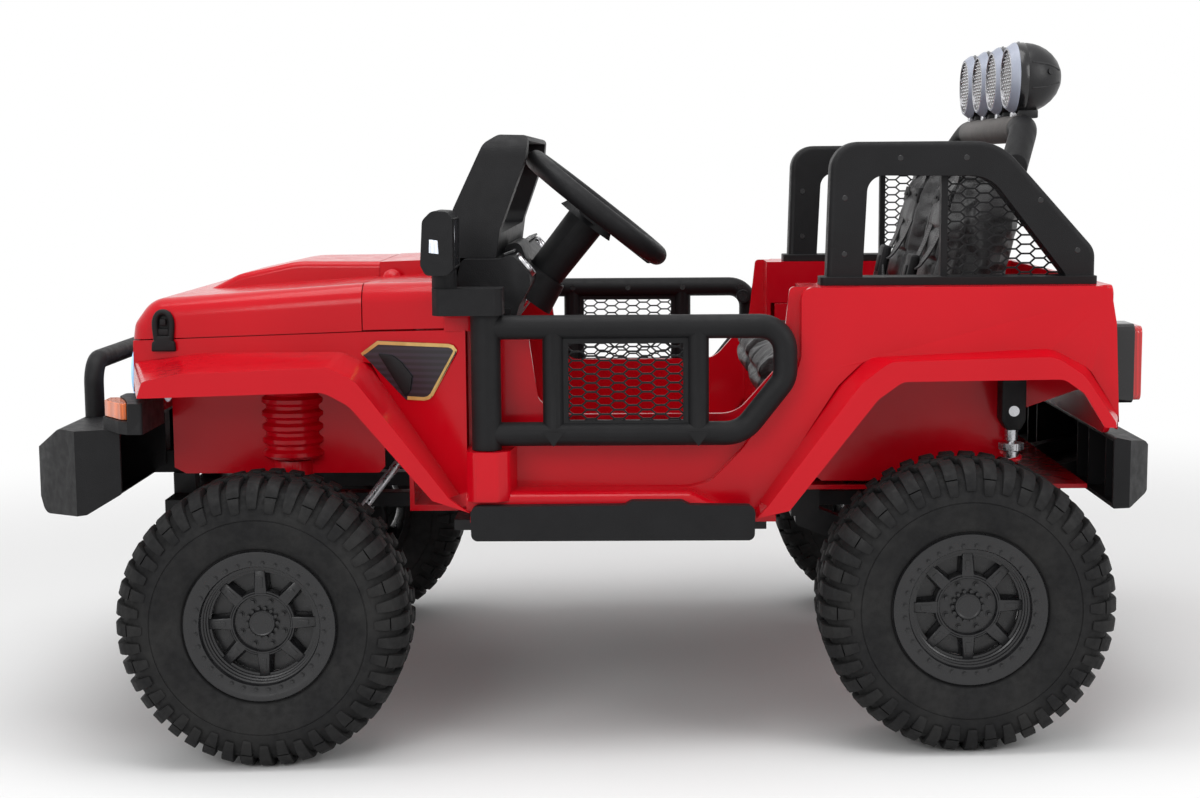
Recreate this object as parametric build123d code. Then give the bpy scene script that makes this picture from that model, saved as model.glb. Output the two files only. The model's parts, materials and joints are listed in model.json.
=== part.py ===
from build123d import *
from math import cos, radians, sin, tan
import os

# Child's battery ride-on 4x4 with two seats and an open cab.
# Millimetres. X runs forward, Y to the vehicle's left, Z up.
# Every piece is drawn level about the middle of the wheelbase. The finished vehicle is then
# tipped nose-up by the rake and moved so that its footprint is centred on the origin.

wheelbase = 845.0
overall_width = 880.0
tyre_radius = 176.0
tyre_width = 140.0
tyre_crown = 32.0               # half width of the flat of the tread
tread_groove = 4.0              # between the two rows of lugs
lug_depth = 6.0
lug_count = 17                  # on each shoulder
rake = 1.2                      # degrees, nose up

wall = 6.0                      # moulded panels
seam = 1.2                      # gap between neighbouring body mouldings
soft_gap = 0.3                  # soft pieces stay this far off what they lie on
fit = 0.05                      # radial clearance of a pin or shaft in its bore
link_gap = 0.3                  # between flat faces that slide over each other

# Running gear
wheel_y = overall_width / 2 - tyre_width / 2
front_x = wheelbase / 2 * cos(radians(rake))
front_z = tyre_radius - wheelbase / 2 * sin(radians(rake))
rear_x = -front_x
rear_z = tyre_radius + wheelbase / 2 * sin(radians(rake))
rim_radius = 86.0
bead_ring_radius = 92.0
sidewall_ring_radius = 126.5
rim_inset = 8.7                 # beadlock face inside the sidewall plane
bead_depth = 14.0               # where the ring lies on the tyre's bead
stub_radius = 9.0
hub_radius = 24.0
kingpin_inset = 130.0           # from the middle of the wheel
kingpin_y = wheel_y - kingpin_inset
kingpin_radius = 8.0
boss_radius = 16.0
boss_height = 48.0
ear_thickness = 9.0
ear_gap = 1.0
gearbox_radius = 62.0
gearbox_depth = 34.0
gearbox_gap = 4.0               # to the tyre's inner side
gearbox_outer_y = wheel_y - tyre_width / 2 - gearbox_gap
gearbox_inner_y = gearbox_outer_y - gearbox_depth
steer_arm = 50.0
tie_rod_thickness = 6.0
tie_rod_low_z = front_z + boss_height / 2 + ear_gap + ear_thickness + link_gap
tie_pin_radius = 4.0
crossmember_width = 36.0
crossmember_height = 34.0

rail_inner_y = 72.0
rail_outer_y = 98.0
rail_riser_z = 300.0
rail_bottom_z = 252.0
shock_x = rear_x - 73.6
shock_y = gearbox_inner_y + 18

# Steering wheel and column
steer_y = 140.0
wheel_centre_x = 22.0
wheel_centre_z = 655.0
column_slope = 51.6             # degrees between the column and the horizontal
column_x = cos(radians(column_slope))
column_z = -sin(radians(column_slope))
rim_major = 100.0
rim_minor = 13.0
shaft_radius = 6.0
neck_end = 124.0                # lower end of the wheel's neck, along the column
neck_radius = 26.0
crank = 20.0
crank_rise = 26.5               # of the crank over the tie rod
crank_z = tie_rod_low_z + tie_rod_thickness + crank_rise
slot_front = 24.0               # of the slot, from the crank pin at rest
slot_rear = 14.0

# Body lines, seen from above: half width of the hood, fender panels and cab
nose_x = 615.0
cab_inset = 90.0                # from the outside of the tyres
cab_half = overall_width / 2 - cab_inset
nose_half = cab_half - 112
scuttle_x = 311.0
scuttle_half = cab_half - 58
cab_front_x = 178.0
door_recess = 17.0
recess_y = cab_half - door_recess
recess_wall = 8.0
tail_x = -598.0
rear_arch_depth = 95.0
inner_wall_y = cab_half - rear_arch_depth
front_arch_depth = 109.0
arch_inner_y = cab_half - front_arch_depth
deck_z = 470.0                  # top of the deck behind the seats
tray_depth = 3.0                # shallow tray in the deck
tray_margin = 8.0
tongue_rise = 8.0               # lap of a lower panel behind the one above it
tongue_wall = 4.0

# Body lines, seen from the side
seam_front_z = 494.0
seam_mid_z = 508.0
seam_rear_z = 515.0
hood_front_z = 545.0
hood_rear_z = 566.0
dome_z = 585.0
cowl_rear_x = 192.0
cowl_top_z = 571.0
dash_top_z = 597.0
waist_z = 562.0                 # top of the rear body
sill_top_z = 320.0
sill_bottom_z = 297.0
sill_width = 34.0
sill_y = cab_half + sill_width
door_cut_z = 408.0
floor_z = 272.0
floor_thickness = 8.0
rail_top_z = floor_z - soft_gap
flare_width = 40.0
flare_y = cab_half + flare_width
flare_lip = 5.0

# Lamps and grille
headlamp_y = 168.0
headlamp_z = 446.0
headlamp_radius = 40.0
grille_half = 118.0
grille_bottom_z = 408.0
grille_top_z = 484.0
grille_slots = 6
grille_corner = 14.0
tail_lamp_y = recess_y - 35

# Outlines of the wheel arches in X and Z
front_arch_inner = [(612, 430), (610, 466), (520, 479), (338, 486), (298, 470), (178, 320), (172, 296)]
front_arch_outer = [(572, 430), (563, 457), (520, 466), (340, 473), (308, 457), (196, 312), (172, 296)]
front_lip = [(640, 437), (559, 437), (346, 443), (316, 427), (207, 299), (196, 250), (640, 250)]
front_arch_radii = [0, 8, 60, 30, 40, 20, 0]

rear_arch_inner = [(-172, 289), (-176, 302), (-272, 445), (-304, 478), (-530, 489), (-576, 466), (-614, 408),
                   (-614, 389)]
rear_arch_outer = [(-172, 288), (-186, 303), (-296, 450), (-330, 476), (-526, 481), (-560, 458), (-598, 403),
                   (-600, 389)]
rear_lip = [(-196, 250), (-208, 293), (-316, 431), (-345, 452), (-536, 454), (-560, 437), (-585, 396),
            (-640, 396),
            (-640, 250)]
rear_arch_radii = [0, 20, 60, 26, 40, 30, 12, 0]

# Doors
door_y = cab_half + 19
door_tube = 14.5
door_top_z = 518.0
door_bottom_z = 389.0
door_rear_x = -207.0
post_x = 152.0
post_radius = 18.0
post_bottom_z = 371.0
post_top_z = 533.0
hinge_pin_radius = 7.0
hinge_pin_length = 16.0
door_gap = 1.0

# Perforated sheets in the doors and roll bars, with coarser cells than the real ones
mesh_cell = 30.0
mesh_cell_height = 15.0
mesh_web = 3.0
mesh_front_x = 53.0
mesh_rear_x = -84.7
mesh_bottom_z = 405.5
mesh_top_z = 498.5

# Roll bars and light bar
roll_y = cab_half - 59
roll_depth = 40.0
roll_width = 43.0
plate_thickness = 10.0
roll_front_x = -262.0
roll_rear_x = -588.0
roll_top_z = 736.0
divider_x = -406.0
light_x = -520.0
light_z = 752.0
light_half = 205.0
light_tube = 17.0
lamp_radius = 45.0
lamp_pitch = 104.0
lamp_x = -507.0                 # front rim of the lamps
lamp_z = 817.0

# Seats
seat_width = 222.0
seat_side_gap = 7.0
seat_y = inner_wall_y - seat_side_gap - seat_width / 2
seat_lean = 12.5
cushion_front_x = -180.0
cushion_bottom_z = 415.0
cushion_top_z = 474.0
back_foot_x = -392.0
back_bottom_z = deck_z + soft_gap
back_top_z = 716.0
back_thickness = 72.0


def located(face, origin, x_dir, z_dir):
    return Plane(origin=origin, x_dir=x_dir, z_dir=z_dir) * face


def rounded(points, radius, close):
    """Straight runs through the points, with a tangent arc at each corner where it fits."""
    points = [Vector(*p) for p in points]
    count = len(points)
    corners = range(count) if close else range(1, count - 1)
    radii = list(radius) if isinstance(radius, (list, tuple)) else [radius] * len(corners)
    ends = {}
    arcs = {}
    for i, r in zip(corners, radii):
        back = points[i - 1] - points[i]
        ahead = points[(i + 1) % count] - points[i]
        half_turn = radians(180 - back.get_angle(ahead)) / 2
        reach = min(r * tan(half_turn), 0.48 * back.length, 0.48 * ahead.length)
        if reach < 0.05:
            ends[i] = (points[i], points[i])
            continue
        start = points[i] + back.normalized() * reach
        finish = points[i] + ahead.normalized() * reach
        middle = (back.normalized() + ahead.normalized()).normalized()
        bulge = reach / tan(half_turn) * (1 / cos(half_turn) - 1)
        arcs[i] = ThreePointArc(start, points[i] + middle * bulge, finish)
        ends[i] = (start, finish)
    edges = []
    for i in range(count if close else count - 1):
        j = (i + 1) % count
        start = ends[i][1] if i in ends else points[i]
        finish = ends[j][0] if j in ends else points[j]
        if i in arcs:
            edges.append(arcs[i])
        edges.append(Line(start, finish))
    return edges


def outline_face(points, radius=0.0):
    return make_face(rounded(points, radius, True))


def inset_face(points, radius, inset):
    face = outline_face(points, radius)
    return offset(face, amount=-inset, kind=Kind.INTERSECTION) if inset else face


def side_face(points, y, radius=0.0):
    """Face drawn in X and Z at one Y."""
    return located(outline_face(points, radius), (0, y, 0), (1, 0, 0), (0, -1, 0))


def honeycomb(sheet, y0, y1):
    """Face in X and Z with flat-topped hexagonal holes in staggered columns, whole cells only."""
    corners = sheet.bounding_box()
    reach = mesh_cell / 2
    flat = mesh_cell_height / 2
    cell = make_face(Polyline((-reach, 0), (-reach / 2, flat), (reach / 2, flat), (reach, 0),
                              (reach / 2, -flat), (-reach / 2, -flat), close=True))
    room = offset(sheet, amount=-mesh_web, kind=Kind.INTERSECTION)
    column_step = reach * 1.5 + mesh_web
    row_step = mesh_cell_height + mesh_web
    columns = int(corners.size.X / column_step) + 1
    rows = int(corners.size.Y / row_step) + 1
    first = corners.center() - Vector((columns - 1) * column_step, (rows - 0.5) * row_step) / 2
    for i in range(columns):
        for j in range(rows):
            hole = Pos(first.X + i * column_step, first.Y + (j + 0.5 * (i % 2)) * row_step) * cell
            if not (hole - room).faces():
                sheet -= hole
    return extrude(located(sheet, (0, y0, 0), (1, 0, 0), (0, -1, 0)), amount=y1 - y0, dir=(0, 1, 0))


def side_slab(points, y0, y1, radius=0.0):
    """Side-view outline between two Y planes."""
    return extrude(side_face(points, y0, radius), amount=y1 - y0, dir=(0, 1, 0))


def plan_slab(points, z0, z1, radius=0.0):
    """Outline seen from above between two heights."""
    face = located(outline_face(points, radius), (0, 0, z0), (1, 0, 0), (0, 0, 1))
    return extrude(face, amount=z1 - z0, dir=(0, 0, 1))


def front_slab(points, x0, x1, radius=0.0):
    """Outline drawn in Y and Z between two X planes."""
    face = located(outline_face(points, radius), (x0, 0, 0), (0, 1, 0), (1, 0, 0))
    return extrude(face, amount=x1 - x0, dir=(1, 0, 0))


def block(x0, x1, y0, y1, z0, z1):
    return Pos((x0 + x1) / 2, (y0 + y1) / 2, (z0 + z1) / 2) * Box(abs(x1 - x0), abs(y1 - y0), abs(z1 - z0))


def rod(start, end, radius):
    """Straight round bar between two points."""
    line = Line(start, end)
    return extrude(Plane(origin=start, z_dir=line % 0) * Circle(radius), amount=line.length)


def tube(points, radius, bend):
    """Round bar along straight runs with filleted corners."""
    path = Wire([edge.edge() for edge in rounded(points, bend, False)])
    return sweep(Plane(origin=path @ 0, z_dir=path % 0) * Circle(radius), path=path)


def both_sides(shape):
    return shape + mirror(shape, about=Plane.XZ)


def right_hand(shape):
    return mirror(shape, about=Plane.XZ)


def box_outline(u0, u1, v0, v1):
    return [(u0, v0), (u1, v0), (u1, v1), (u0, v1)]


def body_half(x):
    """Half width of hood, fender and cowl at a place along the body."""
    if x >= scuttle_x:
        share = (nose_x - x) / (nose_x - scuttle_x)
        return nose_half + share * (scuttle_half - nose_half)
    share = (scuttle_x - x) / (scuttle_x - cab_front_x)
    return scuttle_half + share * (cab_half - scuttle_half)


def seam_height(x):
    """Height of the seam under hood and cowl."""
    if x >= scuttle_x:
        share = (nose_x - x) / (nose_x - scuttle_x)
        return seam_front_z + share * (seam_mid_z - seam_front_z)
    share = (scuttle_x - x) / (scuttle_x - cab_front_x)
    return seam_mid_z + share * (seam_rear_z - seam_mid_z)


def body_plan(x0, x1, inset, z0, z1):
    """Slab between two heights whose sides follow the body's plan, both sides at once."""
    stations = [x0] + [x for x in (scuttle_x,) if x0 < x < x1] + [x1]
    left = [(x, body_half(x) - inset) for x in stations]
    right = [(x, -y) for x, y in reversed(left)]
    return plan_slab(left + right, z0, z1)


# Hood, cowl and nose

def hood_form(inset):
    """Hood with raised centre; inset draws the inside of the shell."""
    front = nose_x - inset
    rear = scuttle_x + seam / 2 + inset
    top = [(front, seam_front_z - inset), (front - 3, 514), (588 - inset, hood_front_z - inset),
           (rear, hood_rear_z - inset), (rear, seam_mid_z - inset)]
    form = side_slab(top, -400, 400, [0, 22, 38, 0, 0])
    form &= body_plan(rear, front, inset, 400, 700)
    edges = form.edges().filter_by(lambda e: e.length > 200 and e.center().Z > hood_front_z - 30)
    edges = edges.filter_by(lambda e: abs(e.center().Y) > 150)
    form = fillet(edges, 26 - inset)
    dome = side_slab([(560, 520), (548 - inset, 547 - inset), (505 - inset, 568 - inset),
                      (425, dome_z - inset),
                      (rear, dome_z - inset), (rear, 520)], -400, 400, [0, 20, 60, 120, 0, 0])
    dome &= plan_slab([(rear, -112 + inset), (560, -78 + inset), (560, 78 - inset), (rear, 112 - inset)],
                      500, 640)
    top_edges = dome.edges().filter_by(lambda e: abs(e.center().Y) > 60 and e.length > 60
                                       and e.center().Z > 560)
    return form + fillet(top_edges, 9)


def hood():
    return hood_form(0) - hood_form(wall)


def cowl():
    """Panel between hood and dashboard, with the end of the raised centre."""
    front = scuttle_x - seam / 2
    side_gap = 0.8

    def form(inset, drop):
        stations = [front - inset, cowl_rear_x + inset]
        base = [(x, seam_height(x) + seam - drop) for x in stations]
        shape = side_slab([base[0], (stations[0], hood_rear_z - inset), (stations[1], cowl_top_z - inset),
                           base[1]],
                          -400, 400)
        plan = [(x, body_half(x) - inset - side_gap) for x in stations]
        shape &= plan_slab(plan + [(x, -y) for x, y in reversed(plan)], 400, 700)
        edges = shape.edges().filter_by(lambda e: e.center().Z > hood_rear_z - 10 - inset
                                        and abs(e.center().Y) > 200)
        shape = fillet(edges, 26 - inset)
        dome = side_slab([(stations[0], 540), (stations[0], dome_z - inset),
                          (stations[1] + 24, dome_z + 3 - inset),
                          (stations[1] + 10, 540)], -118 + inset, 118 - inset, [0, 0, 10, 0])
        return shape + dome

    shell = form(0, 0) - form(wall, 30)
    lump = Pos(front - 18, 132, hood_rear_z - 4) * Sphere(14)
    return shell + (both_sides(lump) & block(cowl_rear_x, front, -300, 300, hood_rear_z - 5, 640))


def nose_panel():
    """Upright front panel with lamp holes and an opening for the grille."""
    x0 = nose_x - 30
    half = body_half(nose_x - 4) - wall - soft_gap
    panel = front_slab(box_outline(-half, half, 398, seam_front_z - seam), x0, nose_x - 2, [18, 18, 8, 8])
    panel -= front_slab(box_outline(-grille_half, grille_half, grille_bottom_z, grille_top_z), x0 - 1,
                        nose_x,
                        grille_corner)
    for y in (-headlamp_y, headlamp_y):
        panel -= rod((x0 - 1, y, headlamp_z), (nose_x, y, headlamp_z), headlamp_radius + 0.5)
    return panel


def grille():
    """Slatted insert: frame with upright slots."""
    x0 = nose_x - 26
    frame = front_slab(box_outline(-grille_half + soft_gap, grille_half - soft_gap,
                                   grille_bottom_z + soft_gap, grille_top_z - soft_gap), x0, nose_x - 6,
                       grille_corner - soft_gap)
    pitch = 2 * (grille_half - 10) / grille_slots
    for i in range(grille_slots):
        y = (i - (grille_slots - 1) / 2) * pitch
        slot = box_outline(y - pitch / 2 + 7, y + pitch / 2 - 7, grille_bottom_z + 10, grille_top_z - 10)
        frame -= front_slab(slot, x0 + 6, nose_x, 9)
    return frame


def headlamps():
    profile = [(nose_x - 30, 0), (nose_x + 9, 0), (nose_x + 6, 18), (nose_x, 33),
               (nose_x - 3, headlamp_radius),
               (nose_x - 30, headlamp_radius)]
    body = revolve(make_face(Polyline(*profile, close=True)), axis=Axis.X)
    return both_sides(Pos(0, headlamp_y, headlamp_z) * body)


# Front fenders and flares

def flare(inner, outer, radii, lip, lip_radii, y_in, y_out):
    """Shelf over a wheel that ends in a turned-down lip, as one thin shell."""
    def form(inset, y0, y1):
        a = inset_face(inner, radii, inset)
        b = inset_face(outer, radii, inset)
        return loft([located(a, (0, y0, 0), (1, 0, 0), (0, -1, 0)),
                     located(b, (0, y1, 0), (1, 0, 0), (0, -1, 0))], ruled=True)

    shell = form(0, y_in, y_out) - form(flare_lip, y_in - 1, y_out - flare_lip)
    ends = sorted([inner[0], inner[-1]])
    mouth = [(ends[0][0] + flare_lip, ends[0][1] + 12), (ends[1][0] - flare_lip, ends[1][1] + 12),
             (ends[1][0] - flare_lip, 150), (ends[0][0] + flare_lip, 150)]
    drop = side_slab(mouth, y_in - 2, y_out - flare_lip)
    return shell - drop - side_slab(lip, y_in + 40, y_out + 10, lip_radii)


def fender_skin(region, inner, outer, radii=0.0):
    """Side-view region on the tapering side of the front body, between two depths."""
    left = [(x, body_half(x)) for x in (nose_x, scuttle_x, cab_front_x - 6)]
    strip = [(x, y + outer) for x, y in left] + [(x, y + inner) for x, y in reversed(left)]
    return side_slab(region, 150, 420, radii) & plan_slab(strip, 200, 700)


def front_fender():
    """Side panel under the hood seam with its wheel flare and the tongue that the hood sits on."""
    region = [(nose_x - 4, seam_front_z - seam), (scuttle_x, seam_mid_z - seam),
              (cab_front_x, seam_rear_z - seam),
              (cab_front_x, 297), (200, 297), (300, 468), (345, 474), (520, 468), (nose_x - 8, 440)]
    panel = fender_skin(region, -wall, 0)
    lap = [(nose_x - 40, seam_front_z + tongue_rise), (scuttle_x + 10, seam_mid_z + tongue_rise),
           (scuttle_x + 10, seam_mid_z - 3 * tongue_rise), (nose_x - 40, seam_front_z - 3 * tongue_rise)]
    tongue = fender_skin(lap, -wall - tongue_wall, -wall)
    wing = flare(front_arch_inner, front_arch_outer, front_arch_radii, front_lip, [0, 20, 30, 40, 6, 0, 0],
                 arch_inner_y, flare_y)
    cab_side = block(cab_front_x - 30, cab_front_x, 200, sill_y + soft_gap, 200, 600)
    return panel + tongue + (wing - cab_side)


def vent_panels():
    """Side vent plates with a raised hexagonal boss."""
    region = [(313, 481), (291, 497), (197, 496), (189, 486), (223, 428), (255, 425)]
    plate = fender_skin(region, 0, 2.5, [4, 3, 3, 3, 3, 3])
    return both_sides(plate)


def inner_fenders_front():
    """Splash walls beside the front wheels with the moulded bellows."""
    outer = arch_inner_y - soft_gap
    liner = side_slab([(563, 330), (548, 322), (300, 322), (293, 330), (293, 462), (563, 462)],
                      outer - wall, outer)
    profile = [(0, 338)]
    for i in range(5):
        z = 342 + i * 17
        profile += [(35, z), (40, z + 4), (40, z + 9), (35, z + 13)]
    profile += [(34, 432), (0, 432)]
    bellows = revolve(make_face(Plane.XZ * Polyline(*profile, close=True)), axis=Axis.Z)
    stem = Pos(0, 0, 330) * Cylinder(26, 18)
    left = liner + (Pos(410, outer - 8, 0) * (bellows + stem) & block(300, 560, outer - wall, 300, 300, 470))
    return both_sides(left)


# Cab and rear body

def body_side():
    """Rear quarter, sill and door surround with the rear flare."""
    crease = [(-228, waist_z), (-228, 478), (-222, 458), (-157, 366), (-118, 326), (-92, sill_top_z)]
    arch = [(-166, sill_bottom_z), (-174, 290), (-272, 443), (-304, 474), (-530, 486), (-574, 463),
            (-611, 405)]
    foot = [(cab_front_x - seam, sill_top_z), (cab_front_x - seam, sill_bottom_z)]
    quarter = crease + foot + arch + [(-612, 390), (-606, 517), (tail_x, waist_z)]
    radii = [14, 10, 30, 40, 30, 60, 3, 3, 4, 12, 60, 26, 40, 30, 10, 4, 10, 14]
    skin = side_slab(quarter, recess_y, cab_half, radii)
    opening_edge = [(cab_front_x - seam, sill_bottom_z), (cab_front_x - seam, seam_rear_z - seam),
                    (104, seam_rear_z - seam), (92, 428), (72, door_cut_z), (-150, door_cut_z), (-205, 470),
                    (-215, waist_z), (-240, waist_z), (-240, 400), (-160, sill_bottom_z)]
    recess = side_slab(opening_edge, recess_y - recess_wall, recess_y, [0, 4, 8, 14, 24, 40, 40, 6, 0, 0, 0])
    sill = side_slab([(cab_front_x - seam, sill_bottom_z), (cab_front_x - seam, sill_top_z),
                      (-92, sill_top_z),
                      (-140, sill_bottom_z)], recess_y, sill_y, [0, 0, 20, 0])
    sill = fillet(sill.edges().filter_by(Axis.X).group_by(Axis.Y)[-1].group_by(Axis.Z)[-1], 12)
    boss = plan_slab([(178 - seam, recess_y), (176, 383), (166, 395), (138, 395), (124, 383),
                      (118, recess_y)],
                     sill_top_z - 10, post_bottom_z - door_gap, [0, 10, 10, 10, 10, 0])
    pin = Pos(post_x, door_y, post_bottom_z - door_gap + hinge_pin_length / 2) * \
        Cylinder(hinge_pin_radius, hinge_pin_length)
    wing = flare(rear_arch_inner, rear_arch_outer, rear_arch_radii, rear_lip,
                 [0, 10, 30, 20, 20, 20, 4, 0, 0],
                 recess_y + 4, flare_y)
    rail = block(tail_x, -228, inner_wall_y, recess_y, waist_z - wall, waist_z)
    inner = block(tail_x, -228, inner_wall_y, inner_wall_y + wall, 500, waist_z)
    front_cheek = block(-234, -228, inner_wall_y, recess_y, 410, waist_z)
    return skin + recess + sill + boss + pin + wing + rail + inner + front_cheek


def inner_fenders_rear():
    """Splash walls and roofs of the rear wheel arches."""
    liner = side_slab([(-262, 312), (-240, 330), (-240, 500 - seam), (-592, 500 - seam), (-592, 430),
                       (-506, 400), (-506, 312)],
                      inner_wall_y, inner_wall_y + wall)
    roof = block(-592, -240, inner_wall_y, recess_y - recess_wall - seam, 494, 500 - seam)
    return both_sides(liner + roof)


def cockpit_tub():
    """Cab floor, firewall, seat box and rear bulkhead as one moulding."""
    half = recess_y - recess_wall - soft_gap
    x1 = 262.0
    inner = inner_wall_y - soft_gap
    firewall_half = arch_inner_y - soft_gap
    floor = block(-200, cab_front_x, -half, half, floor_z, floor_z + floor_thickness)
    floor += block(cab_front_x, x1, -firewall_half, firewall_half, floor_z, floor_z + floor_thickness)
    firewall = block(x1 - wall, x1, -firewall_half, firewall_half, floor_z, 500)
    box_front = block(-200, -200 + wall, -inner, inner, floor_z, cushion_bottom_z - soft_gap)
    box_top = block(-440, -200, -inner, inner, cushion_bottom_z - soft_gap - wall,
                    cushion_bottom_z - soft_gap)
    bulkhead = block(-446, -440, -inner, inner, 300, deck_z)
    deck = block(tail_x, -446, -inner, inner, deck_z - wall, deck_z)
    tray_front = back_foot_x - back_thickness - 2 * tray_margin
    deck -= block(tail_x + tray_margin, tray_front, tray_margin - inner, inner - tray_margin,
                  deck_z - tray_depth,
                  deck_z + 1)
    rear_floor = block(tail_x, -200, -inner, inner, 300, 300 + wall)
    tub = floor + firewall + box_front + box_top + bulkhead + deck + rear_floor
    return tub - column_hole(14.0)


def rear_panel():
    half = recess_y - soft_gap
    panel = front_slab(box_outline(-half, half, 380, waist_z), tail_x - 8, tail_x, [16, 16, 12, 12])
    frame = front_slab(box_outline(-190, 190, 400, 535), tail_x - 12, tail_x - 8, 24)
    return panel + frame


# Trim

def dashboard():
    """Dashboard with the instrument hood and the cup that the steering column turns in."""
    foot = seam_rear_z - seam
    profile = [(cowl_rear_x, foot), (cowl_rear_x, 566), (184, dash_top_z), (138, dash_top_z),
               (122, dash_top_z + 6), (96, 572), (114, 540), (122, foot)]
    dash = side_slab(profile, -318, 318, [0, 16, 6, 6, 14, 20, 12, 6])
    dash += block(124, cab_front_x - 12, -recess_y, recess_y, foot, foot + 24)
    binnacle = side_slab([(100, 560), (137, 560), (137, 610), (118, 615)], steer_y - 82, steer_y + 82,
                         [4, 0, 8, 12])
    cup = column_plane(neck_end + 4) * Cone(30, 37, 40)
    neck_room = rod(on_column(20), on_column(neck_end + 1), neck_radius + 2)
    return dash + binnacle + cup - neck_room - column_hole(shaft_radius + fit)


def windshield_frame():
    """Open windshield surround that stands on the dashboard and cowl."""
    foot = cowl_rear_x + soft_gap
    base = cowl_top_z + soft_gap
    side = [(212, base), (198, 656), (160, 738), (142, 749), (104, 748), (107, 720), (139, 632),
            (144, dash_top_z + soft_gap), (foot, dash_top_z + soft_gap), (foot, base)]
    frame = side_slab(side, -300, 300, [0, 30, 20, 14, 6, 8, 20, 0, 0, 0])
    frame &= front_slab([(-292, base), (292, base), (264, 752), (-264, 752)], 60, 260, [0, 0, 36, 36])
    window = front_slab([(-240, 626), (240, 626), (220, 718), (-220, 718)], 40, 300, [16, 16, 30, 30])
    hollow = block(60, 128, -222, 222, 690, 741)
    return frame - window - hollow - block(180, 300, -126, 126, 560, dome_z + 4)


def mirrors():
    """Corner brackets on the door posts with the mirrors standing on them."""
    z0 = post_top_z + door_gap
    bracket = plan_slab([(214, cab_half + 1), (214, 386), (206, 397), (140, 397), (130, 388),
                         (130, cab_half + 1)],
                        z0, z0 + 32, [0, 8, 8, 8, 8, 0])
    pin = Pos(post_x, door_y, z0 - hinge_pin_length / 2) * Cylinder(hinge_pin_radius, hinge_pin_length)
    stem = Pos(200, 372, z0 + 42) * Cylinder(15, 24)
    housing = side_slab([(184, 590), (192, 584), (216, 584), (222, 596), (219, 648), (208, 659), (190, 658),
                         (184, 650)],
                        350, 432, [4, 8, 8, 8, 10, 10, 8, 4])
    housing = housing - block(180, 187, 356, 426, 592, 650)
    glass = block(184, 187, 356, 426, 592, 650)
    return both_sides(bracket + pin + stem + housing + glass)


def hood_latches():
    """Strap latches across the hood seam, following the side of the body."""
    x = 570
    z = seam_height(x)
    gap = 0.2
    strap = fender_skin(box_outline(x - 8, x + 8, z - 12, z + 30), gap, 8)
    ears = fender_skin(box_outline(x - 16, x + 16, z + 5, z + 17), gap, 6, 2)
    foot = fender_skin(box_outline(x - 14, x + 14, z - 15, z - 3), gap, 12, 2)
    return both_sides(strap + ears + foot)


def turn_lamps():
    lens = plan_slab([(626, 300), (626, 326), (596, 366), (588, 366), (600, 330), (614, 300)], 408, 428, 2)
    return both_sides(lens)


def turn_lamp_housings():
    case = plan_slab([(613.5, 270), (613.5, 300), (599.5, 330), (587, 366), (584, 382), (566, 382),
                      (566, 270)],
                     392, 429.5, [4, 0, 0, 0, 4, 4, 4])
    lip = plan_slab([(628, 296), (628, 328), (598, 370), (584, 382), (566, 382), (613, 296)], 392, 407.5, 2)
    return both_sides(case + lip)


def bumper_shell(profile, radii, plan_outer, thickness):
    """Moulded channel across the vehicle with swept ends, open towards the axle."""
    def form(inset, reach):
        side = inset_face(profile, radii, inset)
        bar = extrude(located(side, (0, -reach, 0), (1, 0, 0), (0, -1, 0)), amount=2 * reach, dir=(0, 1, 0))
        sign = 1 if profile[0][0] > 0 else -1
        plan = [(x - sign * inset, y - inset) for x, y in plan_outer]
        ring = plan + [(x, -y) for x, y in reversed(plan)]
        return bar & plan_slab(ring, 150, 500)

    return form(0, 400), form(thickness / 2, 400), form(thickness, 400)


def front_bumper():
    profile = [(628, 392), (692, 389), (737, 356), (744, 334), (722, 277), (650, 286), (606, 312),
               (606, 392)]
    outer, middle, inner = bumper_shell(profile, [0, 14, 12, 12, 12, 6, 6, 2],
                                        [(560, 338), (662, 338), (730, 262), (745, 190)], 4.0)
    shell = outer - inner - block(590, 655, -333, 333, 300, 384)
    webs = both_sides(block(609, 750, rail_inner_y, rail_outer_y, 280, 400) & middle)
    arms = both_sides(block(570, 640, rail_inner_y + 3, rail_outer_y - 3, rail_riser_z, 330))
    return shell + webs + arms


def bull_bar():
    """Bent tube standing on the bumper's top."""
    foot = 372
    bar = tube([(677, -190, foot), (677, -190, 462), (677, 190, 462), (677, 190, foot)], 12.5, 30)
    profile = [(628, 200), (628, 392), (692, 389), (737, 356), (744, 200)]
    return bar - side_slab(profile, -400, 400, [0, 0, 14, 12, 0])


def rear_bumper():
    profile = [(-608, 378), (-656, 368), (-671, 353), (-672, 322), (-660, 302), (-630, 291), (-608, 290)]
    outer, middle, inner = bumper_shell(profile, [4, 10, 8, 10, 10, 6, 2],
                                        [(-560, 345), (-628, 345), (-662, 296), (-673, 220)], 4.0)
    shell = outer - inner - block(-626, -590, -340, 340, 296, 372)
    for y in (-280, -190, -128, 128, 190, 280):
        shell += block(-690, -614, y - 2, y + 2, 280, 400) & middle
    arm = side_slab([(-600 - soft_gap, 276), (-600 - soft_gap, 306), (-660, 320), (-660, 300), (-632, 293)],
                    rail_inner_y, rail_outer_y)
    return shell + (both_sides(arm) & middle) + both_sides(arm & block(-614, -590, 0, 200, 200, 400))


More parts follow.
